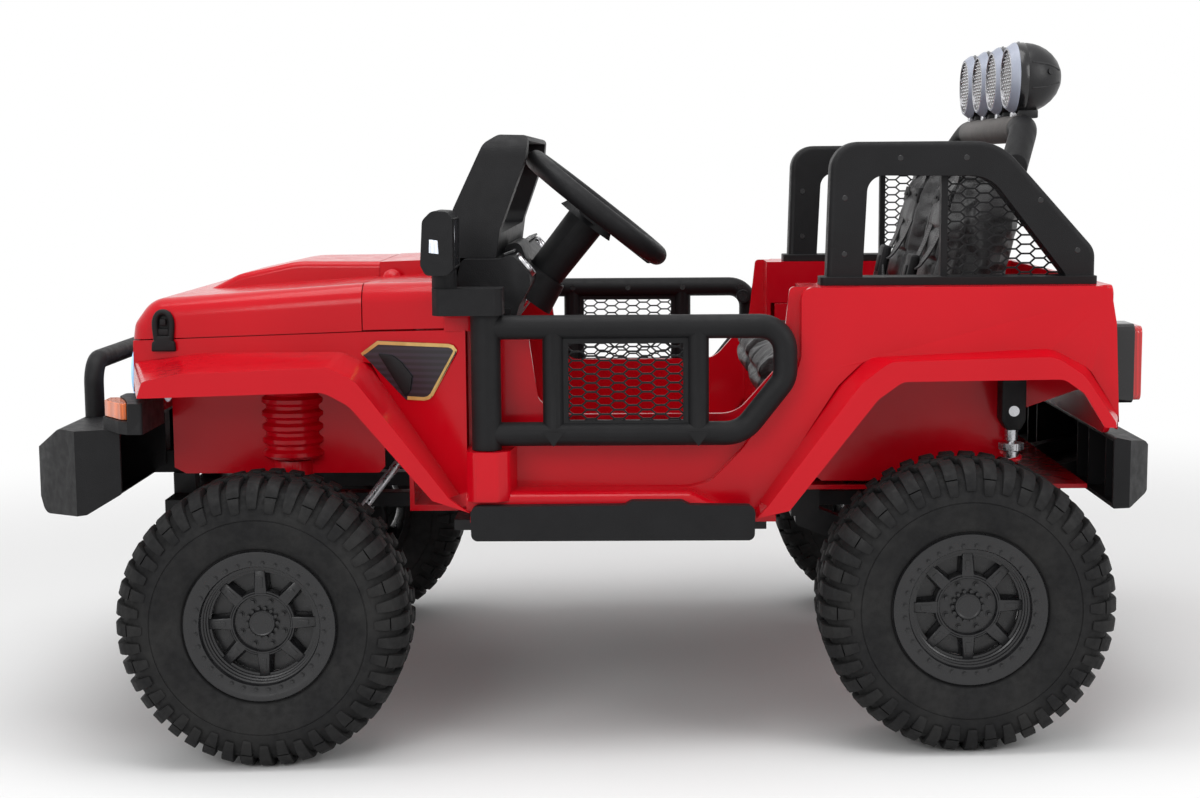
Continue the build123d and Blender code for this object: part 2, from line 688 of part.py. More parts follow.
def running_boards():
    side = [(170, 264), (171, 306), (-14, 307), (-22, 312), (-82, 312), (-92, 307), (-170, 306), (-169, 264)]
    board = side_slab(side, recess_y + 4, 402, [8, 10, 4, 4, 4, 4, 10, 8])
    board -= block(-160, 160, recess_y + 12, 394, 200, 290)
    cut = block(-300, 300, 300, sill_y + 2, sill_bottom_z - soft_gap, 330)
    flare_toe = block(-200, rear_arch_outer[0][0] + 8, 300, flare_y + 2, rear_arch_outer[0][1] - 2, 330)
    return both_sides(board - cut - flare_toe)


def tail_lamp_housings():
    box = block(-634, tail_x - 8, tail_lamp_y - 30, tail_lamp_y + 30, 417, 514)
    return both_sides(fillet(box.edges().filter_by(Axis.X), 10))


def tail_lamps():
    lens = block(-644, -634, tail_lamp_y - 26, tail_lamp_y + 26, 420, 511)
    return both_sides(fillet(lens.edges().filter_by(Axis.X), 9))


# Tubes and bars

def roll_bar_opening():
    """Inner outline of the hoop as a face in X and Z."""
    points = [(roll_front_x - roll_width, waist_z + 5), (-311, roll_top_z - 41), (-458, roll_top_z - 42),
              (-552, 574), (-552, waist_z + 5)]
    return outline_face(points, [0, 20, 46, 10, 0])


def roll_bar():
    """Moulded side hoop on its base plate with the divider in front of its mesh."""
    outer = [(roll_front_x, waist_z + plate_thickness), (roll_front_x - 5, roll_top_z), (-470, roll_top_z),
             (roll_rear_x, 604), (roll_rear_x, waist_z + plate_thickness)]
    half = roll_depth / 2
    hoop = side_slab(outer, roll_y - half, roll_y + half, [0, 34, 70, 26, 0])
    hoop = fillet(hoop.edges().filter_by(lambda e: abs(abs(e.center().Y - roll_y) - half) < 0.1
                                         and e.center().Z > waist_z + plate_thickness + 1), 7)
    hoop -= extrude(located(roll_bar_opening(), (0, roll_y - 60, 0), (1, 0, 0), (0, -1, 0)), amount=120,
                    dir=(0, 1, 0))
    plate = plan_slab(box_outline(-591, -254, roll_y - 24, roll_y + 24), waist_z, waist_z + plate_thickness,
                      8)
    divider = block(divider_x - 4, divider_x + 4, roll_y - 8, roll_y + 8, waist_z + 5, roll_top_z - 20)
    return hoop + plate + divider


def roll_bar_meshes():
    base = waist_z + plate_thickness + soft_gap
    region = make_face(Polyline((divider_x - 4 - soft_gap, base), (divider_x - 4 - soft_gap, 760),
                                (-620, 760),
                                (-620, base), close=True))
    sheet = offset(roll_bar_opening(), amount=-soft_gap, kind=Kind.INTERSECTION) & region
    return both_sides(honeycomb(sheet, roll_y - 1.5, roll_y + 1.5))


def light_bar():
    foot_y = roll_y - roll_depth / 2
    foot = (-486, foot_y + 16, 684)
    points = [foot, (light_x, light_half, light_z), (light_x, -light_half, light_z),
              (foot[0], -foot[1], foot[2])]
    return tube(points, light_tube, 40) & block(-700, -300, -foot_y, foot_y, 500, 900)


def roof_lamps():
    """Four round lamps: ring, band and domed back, each on a short stalk with a saddle."""
    rear = lamp_x - 24
    dome_radius = lamp_radius - 1
    profile = [(rear, 0), (lamp_x + 2, 0), (lamp_x + 2, 32), (lamp_x, lamp_radius - 5),
               (lamp_x - 8, lamp_radius), (rear, dome_radius)]
    lamp = revolve(make_face(Polyline(*profile, close=True)), axis=Axis.X)
    lamp += Pos(rear, 0, 0) * Sphere(dome_radius) & block(rear - 60, rear + 1, -60, 60, -60, 60)
    stalk_foot = light_z + light_tube + soft_gap
    row = []
    for i in range(4):
        y = (i - 1.5) * lamp_pitch
        stalk = rod((light_x, y, stalk_foot), (light_x, y, lamp_z - lamp_radius + 6), 8)
        row.append(Pos(0, y, lamp_z) * lamp + stalk)
    return Compound(children=row)


def door():
    """Tube door with its hinge post, uprights and the frame round its mesh."""
    frame = tube([(post_x, door_y, door_top_z), (door_rear_x, door_y, door_top_z),
                  (door_rear_x, door_y, 455),
                  (-155, door_y, door_bottom_z), (post_x, door_y, door_bottom_z)], door_tube, [34, 28, 40])
    post = Cylinder(post_radius, post_top_z - post_bottom_z)
    frame += Pos(post_x, door_y, (post_bottom_z + post_top_z) / 2) * post
    for x in (mesh_front_x + 18, mesh_rear_x - 18):
        frame += rod((x, door_y, door_bottom_z), (x, door_y, door_top_z), 13)
        toe = [(x - 13, door_bottom_z + 4), (x + 13, door_bottom_z + 4), (x, door_bottom_z - door_tube + 1)]
        frame += side_slab(toe, door_y, door_y + door_tube + 1.5)
    border = block(mesh_rear_x - 18, mesh_front_x + 18, door_y - 5, door_y + 5, door_bottom_z, door_top_z)
    frame += border - block(mesh_rear_x, mesh_front_x, door_y - 6, door_y + 6, mesh_bottom_z, mesh_top_z)
    knob = rod((-197, door_y - 12, 504), (-197, door_y - 30, 504), 10)
    bore = hinge_pin_radius + fit
    for z in (post_bottom_z + hinge_pin_length / 2, post_top_z - hinge_pin_length / 2):
        frame -= Pos(post_x, door_y, z) * Cylinder(bore, hinge_pin_length + 2)
    return frame + knob


def door_mesh():
    margin = soft_gap
    sheet = outline_face(box_outline(mesh_rear_x + margin, mesh_front_x - margin, mesh_bottom_z + margin,
                                     mesh_top_z - margin))
    return honeycomb(sheet, door_y - 1.5, door_y + 1.5)


# Steering

def on_column(distance):
    """Point on the steering axis, that far down from the centre of the steering wheel."""
    return (wheel_centre_x + column_x * distance, steer_y, wheel_centre_z + column_z * distance)


def column_hole(radius):
    return rod(on_column(20), on_column(560), radius)


def column_plane(distance):
    return Plane(origin=on_column(distance), x_dir=(0, 1, 0), z_dir=(column_x, 0, column_z))


def steering_wheel():
    ring = Torus(rim_major, rim_minor)
    for angle in (0, 180, 270):
        spoke = Rot(0, 0, angle) * Pos(rim_major / 2, 0, 10) * Box(rim_major, 30, 12)
        ring += fillet(spoke.edges().filter_by(Axis.X), 5)
    hub = Pos(0, 0, 8) * Cone(24, 40, 32)
    neck = Pos(0, 0, neck_end - 52) * Cone(neck_radius, neck_radius - 2, 104)
    wheel = ring + hub + neck
    wheel -= Pos(0, 0, 76) * Cylinder(shaft_radius + fit, 100)
    return column_plane(0) * wheel


def steering_shaft():
    """Rod from the steering wheel down to a crank whose pin works in the tie rod's slot."""
    drop = (wheel_centre_z - crank_z) / -column_z
    start = on_column(40)
    end = on_column(drop)
    shaft = rod(start, end, shaft_radius)
    arm_dir = (column_z, 0, -column_x)
    base = tuple(end[i] + arm_dir[i] * crank for i in range(3))
    arm = column_plane(drop - 5) * (Cylinder(10, 8))
    arm += column_plane(drop - 5) * (Pos(0, -crank / 2, 0) * Box(16, crank, 8))
    top = tuple(base[i] - (column_x, 0, column_z)[i] * 9 for i in range(3))
    tip = tuple(base[i] + (column_x, 0, column_z)[i] * 40 for i in range(3))
    arm += rod(top, tip, tie_pin_radius)
    return shaft + arm


def front_axle():
    """Crossmember with kingpin bosses, hung from the chassis rails."""
    half = crossmember_width / 2
    beam = block(front_x - half, front_x + half, -kingpin_y + 10, kingpin_y - 10,
                 front_z - crossmember_height / 2, front_z + crossmember_height / 2)
    beam = fillet(beam.edges().filter_by(Axis.Y), 6)
    hangers = block(front_x - half, front_x + half, 70, 100, front_z + crossmember_height / 2 - 2,
                    rail_bottom_z)
    boss = Pos(front_x, kingpin_y, front_z) * Cylinder(boss_radius, boss_height)
    bore = Pos(front_x, kingpin_y, front_z) * Cylinder(kingpin_radius + fit, boss_height + 2)
    return beam + both_sides(hangers) + both_sides(boss) - both_sides(bore)


def knuckle():
    """Steering knuckle: two ears and a pin round the boss, gearbox disc and stub axle."""
    half = boss_height / 2
    pin = Pos(front_x, kingpin_y, front_z) * Cylinder(kingpin_radius,
                                                      boss_height + 2 * ear_gap + 2 * ear_thickness)
    shape = pin
    for side in (-1, 1):
        z = front_z + side * (half + ear_gap + ear_thickness / 2)
        ear = plan_slab([(front_x - 18, kingpin_y - 16), (front_x + 18, kingpin_y - 16),
                         (front_x + 26, gearbox_inner_y + 4),
                         (front_x - 26,
                          gearbox_inner_y + 4)], z - ear_thickness / 2, z + ear_thickness / 2, [10, 10, 0,
                                                                                                0])
        shape += ear
    top = front_z + half + ear_gap + ear_thickness
    arm = plan_slab([(front_x + 4, kingpin_y - 9), (front_x + 4, kingpin_y + 9),
                     (front_x - steer_arm - 9, kingpin_y + 9),
                     (front_x - steer_arm - 9, kingpin_y - 9)], top - ear_thickness, top, [0, 0, 8, 8])
    pin_up = Pos(front_x - steer_arm, kingpin_y, top + 6) * Cylinder(tie_pin_radius, 14)
    return shape + arm + pin_up + gearbox(front_x, front_z)


def gearbox(x, z):
    """Motor gearbox disc behind a wheel with its stub axle."""
    disc = rod((x, gearbox_inner_y, z), (x, gearbox_outer_y, z), gearbox_radius)
    disc = fillet(disc.edges().filter_by(GeomType.CIRCLE), 5)
    stub_end = wheel_y + tyre_width / 2 - rim_inset - 26
    return disc + rod((x, gearbox_outer_y - 2, z), (x, stub_end, z), stub_radius)


def tie_rod():
    z0 = tie_rod_low_z
    z1 = z0 + tie_rod_thickness
    x = front_x - steer_arm
    bar = plan_slab(box_outline(x - 7, x + 7, -kingpin_y, kingpin_y), z0, z1)
    for y in (-kingpin_y, kingpin_y):
        bar += Pos(x, y, (z0 + z1) / 2) * Cylinder(15, tie_rod_thickness)
    plate = plan_slab(box_outline(x - 44, x + 20, steer_y - 18, steer_y + 18), z0, z1, 6)
    bar += plate
    for y in (-kingpin_y, kingpin_y):
        bar -= Pos(x, y, (z0 + z1) / 2) * Cylinder(tie_pin_radius + 4.5, tie_rod_thickness + 2)
    slot_mid = tie_slot_x(z0, z1)
    bar -= plan_slab(box_outline(slot_mid - slot_rear, slot_mid + slot_front, steer_y - 8, steer_y + 8),
z0 - 1, z1 + 1, 5)
    return bar


def tie_slot_x(z0, z1):
    """X of the crank pin at rest, at the height of the tie rod."""
    drop = (wheel_centre_z - crank_z) / -column_z
    end = on_column(drop)
    base_x = end[0] + column_z * crank
    base_z = end[2] - column_x * crank
    return base_x + (base_z - (z0 + z1) / 2) * column_x / -column_z


def rear_axle():
    """Beam axle on trailing arms with a gearbox at each wheel and lugs for the shocks."""
    beam = block(rear_x - 18, rear_x + 18, -gearbox_inner_y, gearbox_inner_y, rear_z - 17, rear_z + 17)
    beam = fillet(beam.edges().filter_by(Axis.Y), 6)
    arm = side_slab([(rear_x - 10, rear_z - 14), (rear_x - 10, rear_z + 14), (-250, 276), (-232, 276),
                     (-232, 250)],
                    205, 229, [6, 6, 8, 6, 8])
    bracket = block(-262, -226, 200, 234, 262, 300 - soft_gap)
    lug = side_slab([(rear_x + 20, rear_z - 12), (rear_x + 20, rear_z + 12), (shock_x + 10, 238),
                     (shock_x - 10, 238), (shock_x - 10, 222)], gearbox_inner_y - 22, gearbox_inner_y, 4)
    shock_seat = block(shock_x - 12, shock_x + 12, gearbox_inner_y - 7, shock_y + 12, 226, 238)
    return beam + both_sides(arm + bracket + lug + shock_seat + gearbox(rear_x, rear_z))


def shocks():
    """Coil-over shocks: top bracket, rod, collar and spring on its seat."""
    front = shock_x + 15
    rear = shock_x - 15
    bracket = side_slab([(front, 426), (rear, 426), (rear, 392), (rear + 7, 380), (front - 7, 380),
                         (front, 392)],
                        shock_y - 18, shock_y + 16, [0, 0, 4, 4, 4, 4])
    rod_part = rod((shock_x, shock_y, 384), (shock_x, shock_y, 238), 5.5)
    collar = rod((shock_x, shock_y, 362), (shock_x, shock_y, 354), 15.5)
    foot = rod((shock_x, shock_y, 238), (shock_x, shock_y, 250), 14)
    spring = rod((shock_x, shock_y, 250), (shock_x, shock_y, 354), 14)
    hanger = block(rear, front, shock_y - 18, shock_y + 16, 424, 494)
    return both_sides(bracket + rod_part + collar + foot + spring + hanger)


def chassis():
    """Underbody rails and crossplates that carry both axles and the bumpers."""
    rail = block(-600, 600, rail_inner_y, rail_outer_y, rail_bottom_z, rail_top_z)
    tray = block(-190, 200, -300, 300, 258, rail_top_z)
    nose = block(540, 600, -150, 150, rail_bottom_z, rail_top_z)
    tail = block(-600, -560, -150, 150, rail_bottom_z, rail_top_z)
    risers = both_sides(block(-600, -570, rail_inner_y, rail_outer_y, rail_top_z, rail_riser_z - soft_gap) +
                        block(570, 600, rail_inner_y, rail_outer_y, rail_top_z, rail_riser_z))
    return both_sides(rail) + tray + nose + tail + risers


def battery():
    return block(-400, -249, -66, 66, 306 + soft_gap, 400)


# Seats

def seat_cushions():
    profile = [(cushion_front_x, cushion_bottom_z), (-178, 456), (-196, cushion_top_z), (-330, 462),
               (-392, 470),
               (-398, cushion_bottom_z)]
    pad = side_slab(profile, seat_y - seat_width / 2, seat_y + seat_width / 2, [8, 14, 22, 30, 14, 8])
    return both_sides(pad)


def seat_backs():
    lean = radians(seat_lean)
    rise = (back_top_z - back_bottom_z)
    shift = rise * tan(lean)
    depth = back_thickness
    profile = [(back_foot_x, back_bottom_z), (back_foot_x - shift, back_top_z),
               (back_foot_x - shift - 34, back_top_z + 2),
               (back_foot_x - shift - depth, back_top_z - 26), (back_foot_x - depth - 6, back_bottom_z)]
    pad = side_slab(profile, seat_y - seat_width / 2, seat_y + seat_width / 2, [10, 20, 16, 20, 10])
    taper = front_slab([(seat_y - seat_width / 2, 470), (seat_y + seat_width / 2, 470),
                        (seat_y + seat_width / 2, 640),
                        (seat_y + 66, 730), (seat_y - 66, 730), (seat_y - seat_width / 2, 640)], -700, -300,
                       [0, 0, 40, 40, 40, 40])
    return both_sides(pad & taper)


def on_back(z, off):
    """X of the front of a seat back at a height, that far off the surface."""
    return back_foot_x - (z - back_bottom_z) * tan(radians(seat_lean)) + off / cos(radians(seat_lean))


def against_back(z0, z1, y0, y1, near, far):
    """Flat piece lying against the seat back between two heights."""
    return side_slab([(on_back(z0, near), z0), (on_back(z1, near), z1), (on_back(z1, far), z1),
                      (on_back(z0, far), z0)],
                     y0, y1)


def harnesses():
    """Flat shoulder and lap straps with a centre buckle, just off the seat."""
    thick = 2.5
    near = soft_gap + 0.2
    strap = against_back(500, 696, seat_y - 64, seat_y - 32, near, near + thick)
    strap += against_back(500, 696, seat_y + 32, seat_y + 64, near, near + thick)
    strap += against_back(492, 520, seat_y - 90, seat_y + 90, near, near + thick)
    strap += against_back(484, 528, seat_y - 22, seat_y + 22, near, near + 14)
    return both_sides(strap)


# Wheels, drawn with the axle along +Z and the outer face upwards

def facet_ring(profile):
    """Solid of flat facets through one polygon for each radius and height of the profile."""
    sides = 2 * lug_count
    step = 360 / sides
    rings = []
    for radius, z in profile:
        corner = radius / cos(radians(step / 2))
        points = [(corner * cos(radians(step * (i + 0.5))), corner * sin(radians(step * (i + 0.5))))
                  for i in range(sides)]
        rings.append(Pos(0, 0, z) * make_face(Polyline(*points, close=True)))
    return loft(rings, ruled=True)


def tyre_blank():
    """Carcass of flat facets, every other one raised into a shoulder lug, staggered side to side."""
    half = tyre_width / 2
    base = tyre_radius - lug_depth
    edge = tyre_crown + 20
    below = [(sidewall_ring_radius, -half), (base - 14, 8 - half), (base, -tyre_crown)]
    carcass = facet_ring(below + [(radius, -z) for radius, z in reversed(below)])
    seat = half - bead_depth
    dish = facet_ring([(bead_ring_radius + 1, seat), (sidewall_ring_radius - 4, half + 0.1)])
    carcass -= dish + mirror(dish, about=Plane.XY)
    carcass -= facet_ring([(rim_radius, -half), (rim_radius, half)])
    shoulder = facet_ring([(tyre_radius, tread_groove / 2), (tyre_radius, tyre_crown),
                           (tyre_radius - 8, edge),
                           (base - 20, half - 3)])
    step = 180 / lug_count
    reach = 2 * tyre_radius
    slice_points = [(0, 0)] + [(reach * cos(radians(a)), reach * sin(radians(a))) for a in (-step / 2,
                                                                                            step / 2)]
    wedge = extrude(make_face(Polyline(*slice_points, close=True)), amount=half)
    wedge -= Cylinder(sidewall_ring_radius, 2 * half)
    lug = shoulder & wedge
    low = mirror(lug, about=Plane.XY)
    lugs = [Rot(0, 0, 2 * step * i) * lug for i in range(lug_count)]
    lugs += [Rot(0, 0, 2 * step * i + step) * low for i in range(lug_count)]
    return Rot(0, 0, 90) * (carcass + lugs)


def rim_blank():
    """Dished wheel with beadlock ring, eight spokes and a hub."""
    face_z = tyre_width / 2 - rim_inset
    spoke_z = face_z - 12
    r = rim_radius - soft_gap
    lip = tyre_width / 2 - bead_depth + soft_gap
    profile = [(0, -8), (70, -8), (76, -56), (r, -56), (r, lip), (bead_ring_radius, lip),
               (bead_ring_radius, face_z - 2), (bead_ring_radius - 2, face_z), (80, face_z), (74,
                                                                                              face_z - 6),
               (70, spoke_z), (30, spoke_z - 4), (28, spoke_z + 4), (0, spoke_z + 4)]
    rim = revolve(make_face(Plane.XZ * Polyline(*profile, close=True)), axis=Axis.Z)
    pocket = Plane(origin=(0, 0, spoke_z - 22)) * outline_face([(38, -5), (66, -15), (66, 15), (38, 5)],
                                                               [3, 6, 6, 3])
    pocket = extrude(pocket, amount=30)
    for i in range(8):
        rim -= Rot(0, 0, 22.5 + 45 * i) * pocket
    hub = Pos(0, 0, (-70 + 0) / 2) * Cylinder(hub_radius, 62 + 8)
    rim += hub & Pos(0, 0, -36) * Cylinder(40, 66)
    bore_end = face_z - 24
    rim -= Pos(0, 0, (bore_end - 80) / 2) * Cylinder(stub_radius + fit, bore_end + 80)
    cap = Pos(0, 0, spoke_z + 4 + 3) * Cylinder(15, 8)
    return rim + cap


def at_wheel(shape, x, side, z):
    """Stands a wheel on its axle, outer face away from the vehicle."""
    return Pos(x, side * wheel_y, z) * Rot(0, rake, 0) * Rot(-90 * side, 0, 0) * shape


# Assembly

left_fender = front_fender()
left_side = body_side()
left_roll = roll_bar()
left_door = door()
left_mesh = door_mesh()
left_knuckle = knuckle()
tyre = tyre_blank()
rim = rim_blank()

pieces = {
    "hood": hood(),
    "cowl": cowl(),
    "nose_panel": nose_panel(),
    "front_fender_left": left_fender,
    "front_fender_right": right_hand(left_fender),
    "inner_fenders_front": inner_fenders_front(),
    "body_side_left": left_side,
    "body_side_right": right_hand(left_side),
    "inner_fenders_rear": inner_fenders_rear(),
    "cockpit_tub": cockpit_tub(),
    "rear_panel": rear_panel(),
    "grille": grille(),
    "headlamps": headlamps(),
    "turn_lamps": turn_lamps(),
    "turn_lamp_housings": turn_lamp_housings(),
    "vent_panels": vent_panels(),
    "hood_latches": hood_latches(),
    "front_bumper": front_bumper(),
    "bull_bar": bull_bar(),
    "rear_bumper": rear_bumper(),
    "running_boards": running_boards(),
    "dashboard": dashboard(),
    "windshield_frame": windshield_frame(),
    "mirrors": mirrors(),
    "tail_lamp_housings": tail_lamp_housings(),
    "tail_lamps": tail_lamps(),
    "roll_bar_left": left_roll,
    "roll_bar_right": right_hand(left_roll),
    "light_bar": light_bar(),
    "roof_lamps": roof_lamps(),
    "seat_cushions": seat_cushions(),
    "seat_backs": seat_backs(),
    "harnesses": harnesses(),
    "chassis": chassis(),
    "battery": battery(),
    "front_axle": front_axle(),
    "rear_axle": rear_axle(),
    "shocks": shocks(),
    "steering_wheel": steering_wheel(),
    "steering_shaft": steering_shaft(),
    "tie_rod": tie_rod(),
    "knuckle_left": left_knuckle,
    "knuckle_right": right_hand(left_knuckle),
    "door_left": left_door,
    "door_right": right_hand(left_door),
    "door_mesh_left": left_mesh,
    "door_mesh_right": right_hand(left_mesh),
    "roll_bar_meshes": roll_bar_meshes(),
}
for end, x, z in (("front", front_x, front_z), ("rear", rear_x, rear_z)):
    for name, side in (("left", 1), ("right", -1)):
        pieces[f"tyre_{end}_{name}"] = at_wheel(tyre, x, side, z)
        pieces[f"rim_{end}_{name}"] = at_wheel(rim, x, side, z)

tip = Pos(0, 0, tyre_radius) * Rot(0, -rake, 0) * Pos(0, 0, -tyre_radius)
tipped = {name: tip * shape for name, shape in pieces.items()}
corners = [shape.bounding_box() for shape in tipped.values()]
middle_x = (min(c.min.X for c in corners) + max(c.max.X for c in corners)) / 2

os.makedirs("parts", exist_ok=True)
for name, shape in tipped.items():
    export_step(Pos(-middle_x, 0, 0) * shape, f"parts/{name}.step")
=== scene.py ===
import bpy
import bmesh
import json
from math import cos, pi, radians, sin
from mathutils import Matrix, Vector
from mathutils.bvhtree import BVHTree


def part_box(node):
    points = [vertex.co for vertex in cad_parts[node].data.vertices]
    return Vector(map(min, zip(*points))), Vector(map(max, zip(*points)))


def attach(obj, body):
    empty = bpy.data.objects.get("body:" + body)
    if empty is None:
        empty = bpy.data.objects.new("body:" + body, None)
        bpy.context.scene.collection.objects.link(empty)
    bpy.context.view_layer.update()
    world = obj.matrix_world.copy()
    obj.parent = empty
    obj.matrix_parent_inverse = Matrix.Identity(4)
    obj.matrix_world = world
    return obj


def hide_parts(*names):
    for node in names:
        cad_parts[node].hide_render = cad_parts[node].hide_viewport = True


# Ride-on toy 4x4 in red and black moulded plastic, dressed on its fixed frame.
# Metres, in the frame's own axes: +X forward, +Y to the vehicle's left, +Z up.

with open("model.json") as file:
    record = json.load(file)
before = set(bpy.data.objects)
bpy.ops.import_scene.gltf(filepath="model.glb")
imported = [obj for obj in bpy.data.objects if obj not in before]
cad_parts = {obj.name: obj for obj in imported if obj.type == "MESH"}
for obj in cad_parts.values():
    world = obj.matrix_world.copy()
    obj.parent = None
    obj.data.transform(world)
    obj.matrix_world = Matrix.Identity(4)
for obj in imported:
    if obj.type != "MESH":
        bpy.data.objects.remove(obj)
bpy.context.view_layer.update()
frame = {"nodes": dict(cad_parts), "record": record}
nodes = frame["nodes"]
bodyOf = {node: body for body, members in frame["record"]["behaviour"]["bodies"].items() for node in members}
slotOf = {part["node"]: part["material_slot"] for part in frame["record"]["subparts"]}


def nodeCentre(node):
    low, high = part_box(node)
    return (low + high) / 2


frontWheel = nodeCentre("tyre_front_left")
rearWheel = nodeCentre("tyre_rear_left")
wheelMiddle = (frontWheel + rearWheel) / 2
rake = 1.2                       # degrees that the body stands nose up
tyreRadius = 0.176

# the level body's millimetres, with Z 0 on the floor, turned by the rake into the frame
bodyMatrix = Matrix.Translation((wheelMiddle.x, 0, tyreRadius)) @ Matrix.Rotation(-radians(rake), 4, "Y") @ \
    Matrix.Translation((0, 0, -tyreRadius)) @ Matrix.Scale(0.001, 4)

# Camera at the photograph's place, worked out from the wheels

shot = {
    "across": -0.03697,          # from the middle of the wheelbase, along X
    "away": 2.6431,
    "height": 0.7116,
    "pitch": 0.1226,
    "yaw": 0.0206,
    "roll": -0.0286,
    "lens": 57.18,
}


def makeCamera():
    pitch, yaw, roll = shot["pitch"], shot["yaw"], shot["roll"]
    level = Vector((sin(yaw), -cos(yaw), 0))
    right = Vector((-cos(yaw), -sin(yaw), 0))
    ahead = level * cos(pitch) - Vector((0, 0, 1)) * sin(pitch)
    above = Vector((0, 0, 1)) * cos(pitch) + level * sin(pitch)
    rightTurned = right * cos(roll) + above * sin(roll)
    aboveTurned = above * cos(roll) - right * sin(roll)
    data = bpy.data.cameras.new("photoCamera")
    data.lens = shot["lens"]
    data.sensor_width = 36
    data.clip_end = 60
    camera = bpy.data.objects.new("photoCamera", data)
    bpy.context.scene.collection.objects.link(camera)
    place = Matrix((rightTurned, aboveTurned, -ahead)).transposed().to_4x4()
    place.translation = Vector((wheelMiddle.x + shot["across"], shot["away"], shot["height"]))
    camera.matrix_world = place
    bpy.context.scene.camera = camera


makeCamera()
print("camera placed")


# Shader maths as expressions, and every other node from one method

class Val:
    def __init__(self, paint, socket):
        self.paint = paint
        self.socket = socket

    def maths(self, operation, first, second=0.0):
        return self.paint.add("ShaderNodeMath", {"operation": operation}, {0: first, 1: second})

    def __add__(self, other):
        return self.maths("ADD", self, other)

    def __sub__(self, other):
        return self.maths("SUBTRACT", self, other)

    def __mul__(self, other):
        return self.maths("MULTIPLY", self, other)

    def __pow__(self, other):
        return self.maths("POWER", self, other)

    def __rsub__(self, other):
        return self.maths("SUBTRACT", other, self)

    __radd__ = __add__
    __rmul__ = __mul__

    def wave(self):
        return self.maths("SINE", self)


class Paint:
    def __init__(self, name, colour=(0.5, 0.5, 0.5), rough=0.5, **fixed):
        self.material = bpy.data.materials.new(name)
        self.material.use_nodes = True
        self.tree = self.material.node_tree
        self.shader = self.tree.nodes["Principled BSDF"]
        self.put("Base Color", (*colour, 1))
        self.put("Roughness", rough)
        for socketName, value in fixed.items():
            self.put(socketName, value)
        self.place = self.add("ShaderNodeTexCoord", output="Object")

    def add(self, kind, settings=None, sockets=None, output=0):
        made = self.tree.nodes.new(kind)
        for key, value in (settings or {}).items():
            if key == "stops":
                while len(made.color_ramp.elements) < len(value):
                    made.color_ramp.elements.new(1.0)
                for element, (position, shade) in zip(made.color_ramp.elements, value):
                    element.position = position
                    element.color = (*shade, 1) if isinstance(shade, tuple) else (shade, shade, shade, 1)
            else:
                setattr(made, key, value)
        for key, value in (sockets or {}).items():
            if isinstance(value, Val):
                self.tree.links.new(value.socket, made.inputs[key])
            else:
                made.inputs[key].default_value = value
        return Val(self, made.outputs[output])

    def put(self, socketName, value):
        if isinstance(value, Val):
            self.tree.links.new(value.socket, self.shader.inputs[socketName])
        else:
            self.shader.inputs[socketName].default_value = value

    def speckle(self, scale, detail=2.0, rough=0.5):
        return self.add("ShaderNodeTexNoise", {}, {"Vector": self.place, "Scale": scale, "Detail": detail,
                                                   "Roughness": rough})

    def cells(self, scale, feature="F1", output="Distance"):
        return self.add("ShaderNodeTexVoronoi", {"feature": feature}, {"Vector": self.place, "Scale": scale},
                        output)

    def span(self, value, low, high, toLow=0.0, toHigh=1.0):
        return self.add("ShaderNodeMapRange", {"interpolation_type": "SMOOTHSTEP"},
                        {"Value": value, "From Min": low, "From Max": high, "To Min": toLow,
                         "To Max": toHigh})

    def mix(self, factor, first, second):
        made = self.tree.nodes.new("ShaderNodeMix")
        made.data_type = "RGBA"
        for socket, value in ((made.inputs[0], factor), (made.inputs[6], first), (made.inputs[7], second)):
            if isinstance(value, Val):
                self.tree.links.new(value.socket, socket)
            else:
                socket.default_value = (*value, 1) if isinstance(value, tuple) else value
        return Val(self, made.outputs[2])

    def axes(self):
        split = self.add("ShaderNodeSeparateXYZ", {}, {0: self.place})
        return [Val(self, output) for output in split.socket.node.outputs]

    def bump(self, height, distance, strength=1.0):
        self.put("Normal", self.add("ShaderNodeBump", {}, {"Height": height, "Distance": distance,
                                                           "Strength": strength}))


def redPlastic():
    paint = Paint("redPlastic", rough=0.2, **{"Specular IOR Level": 0.22, "Coat Weight": 0.08,
                                              "Coat Roughness": 0.06})
    drift = paint.span(paint.speckle(5.0, 3.0), 0.3, 0.7)
    paint.put("Base Color", paint.mix(drift, (0.49, 0.001, 0.008), (0.54, 0.002, 0.010)))
    paint.put("Roughness", paint.span(paint.speckle(60.0, 4.0), 0.3, 0.75, 0.17, 0.27))
    paint.bump(paint.speckle(240.0, 2.0), 0.00006)
    return paint.material


def grainedPlastic(name, shade, rough, grain, depth, level=0.17):
    # matte moulding with a fine leather-like grain and rubbed patches
    paint = Paint(name, **{"Specular IOR Level": level})
    patch = paint.span(paint.speckle(22.0, 4.0), 0.3, 0.72)
    paint.put("Base Color", paint.mix(patch, tuple(v * 0.92 for v in shade), tuple(v * 1.12 for v in shade)))
    paint.put("Roughness", paint.span(paint.speckle(90.0, 3.0), 0.25, 0.75, rough - 0.06, rough + 0.08))
    pebbles = paint.cells(grain)
    paint.bump(pebbles + paint.speckle(grain * 1.7, 2.0) * 0.6, depth)
    return paint.material


def tyrePlastic():
    paint = Paint("tyrePlastic", **{"Specular IOR Level": 0.18})
    dust = paint.span(paint.speckle(14.0, 5.0, 0.62), 0.38, 0.7)
    paint.put("Base Color", paint.mix(dust, (0.010, 0.010, 0.0105), (0.019, 0.0188, 0.0186)))
    paint.put("Roughness", paint.span(paint.speckle(120.0, 3.0), 0.3, 0.7, 0.6, 0.82))
    paint.bump(paint.speckle(700.0, 3.0) + paint.speckle(160.0, 3.0) * 0.8, 0.00022)
    return paint.material


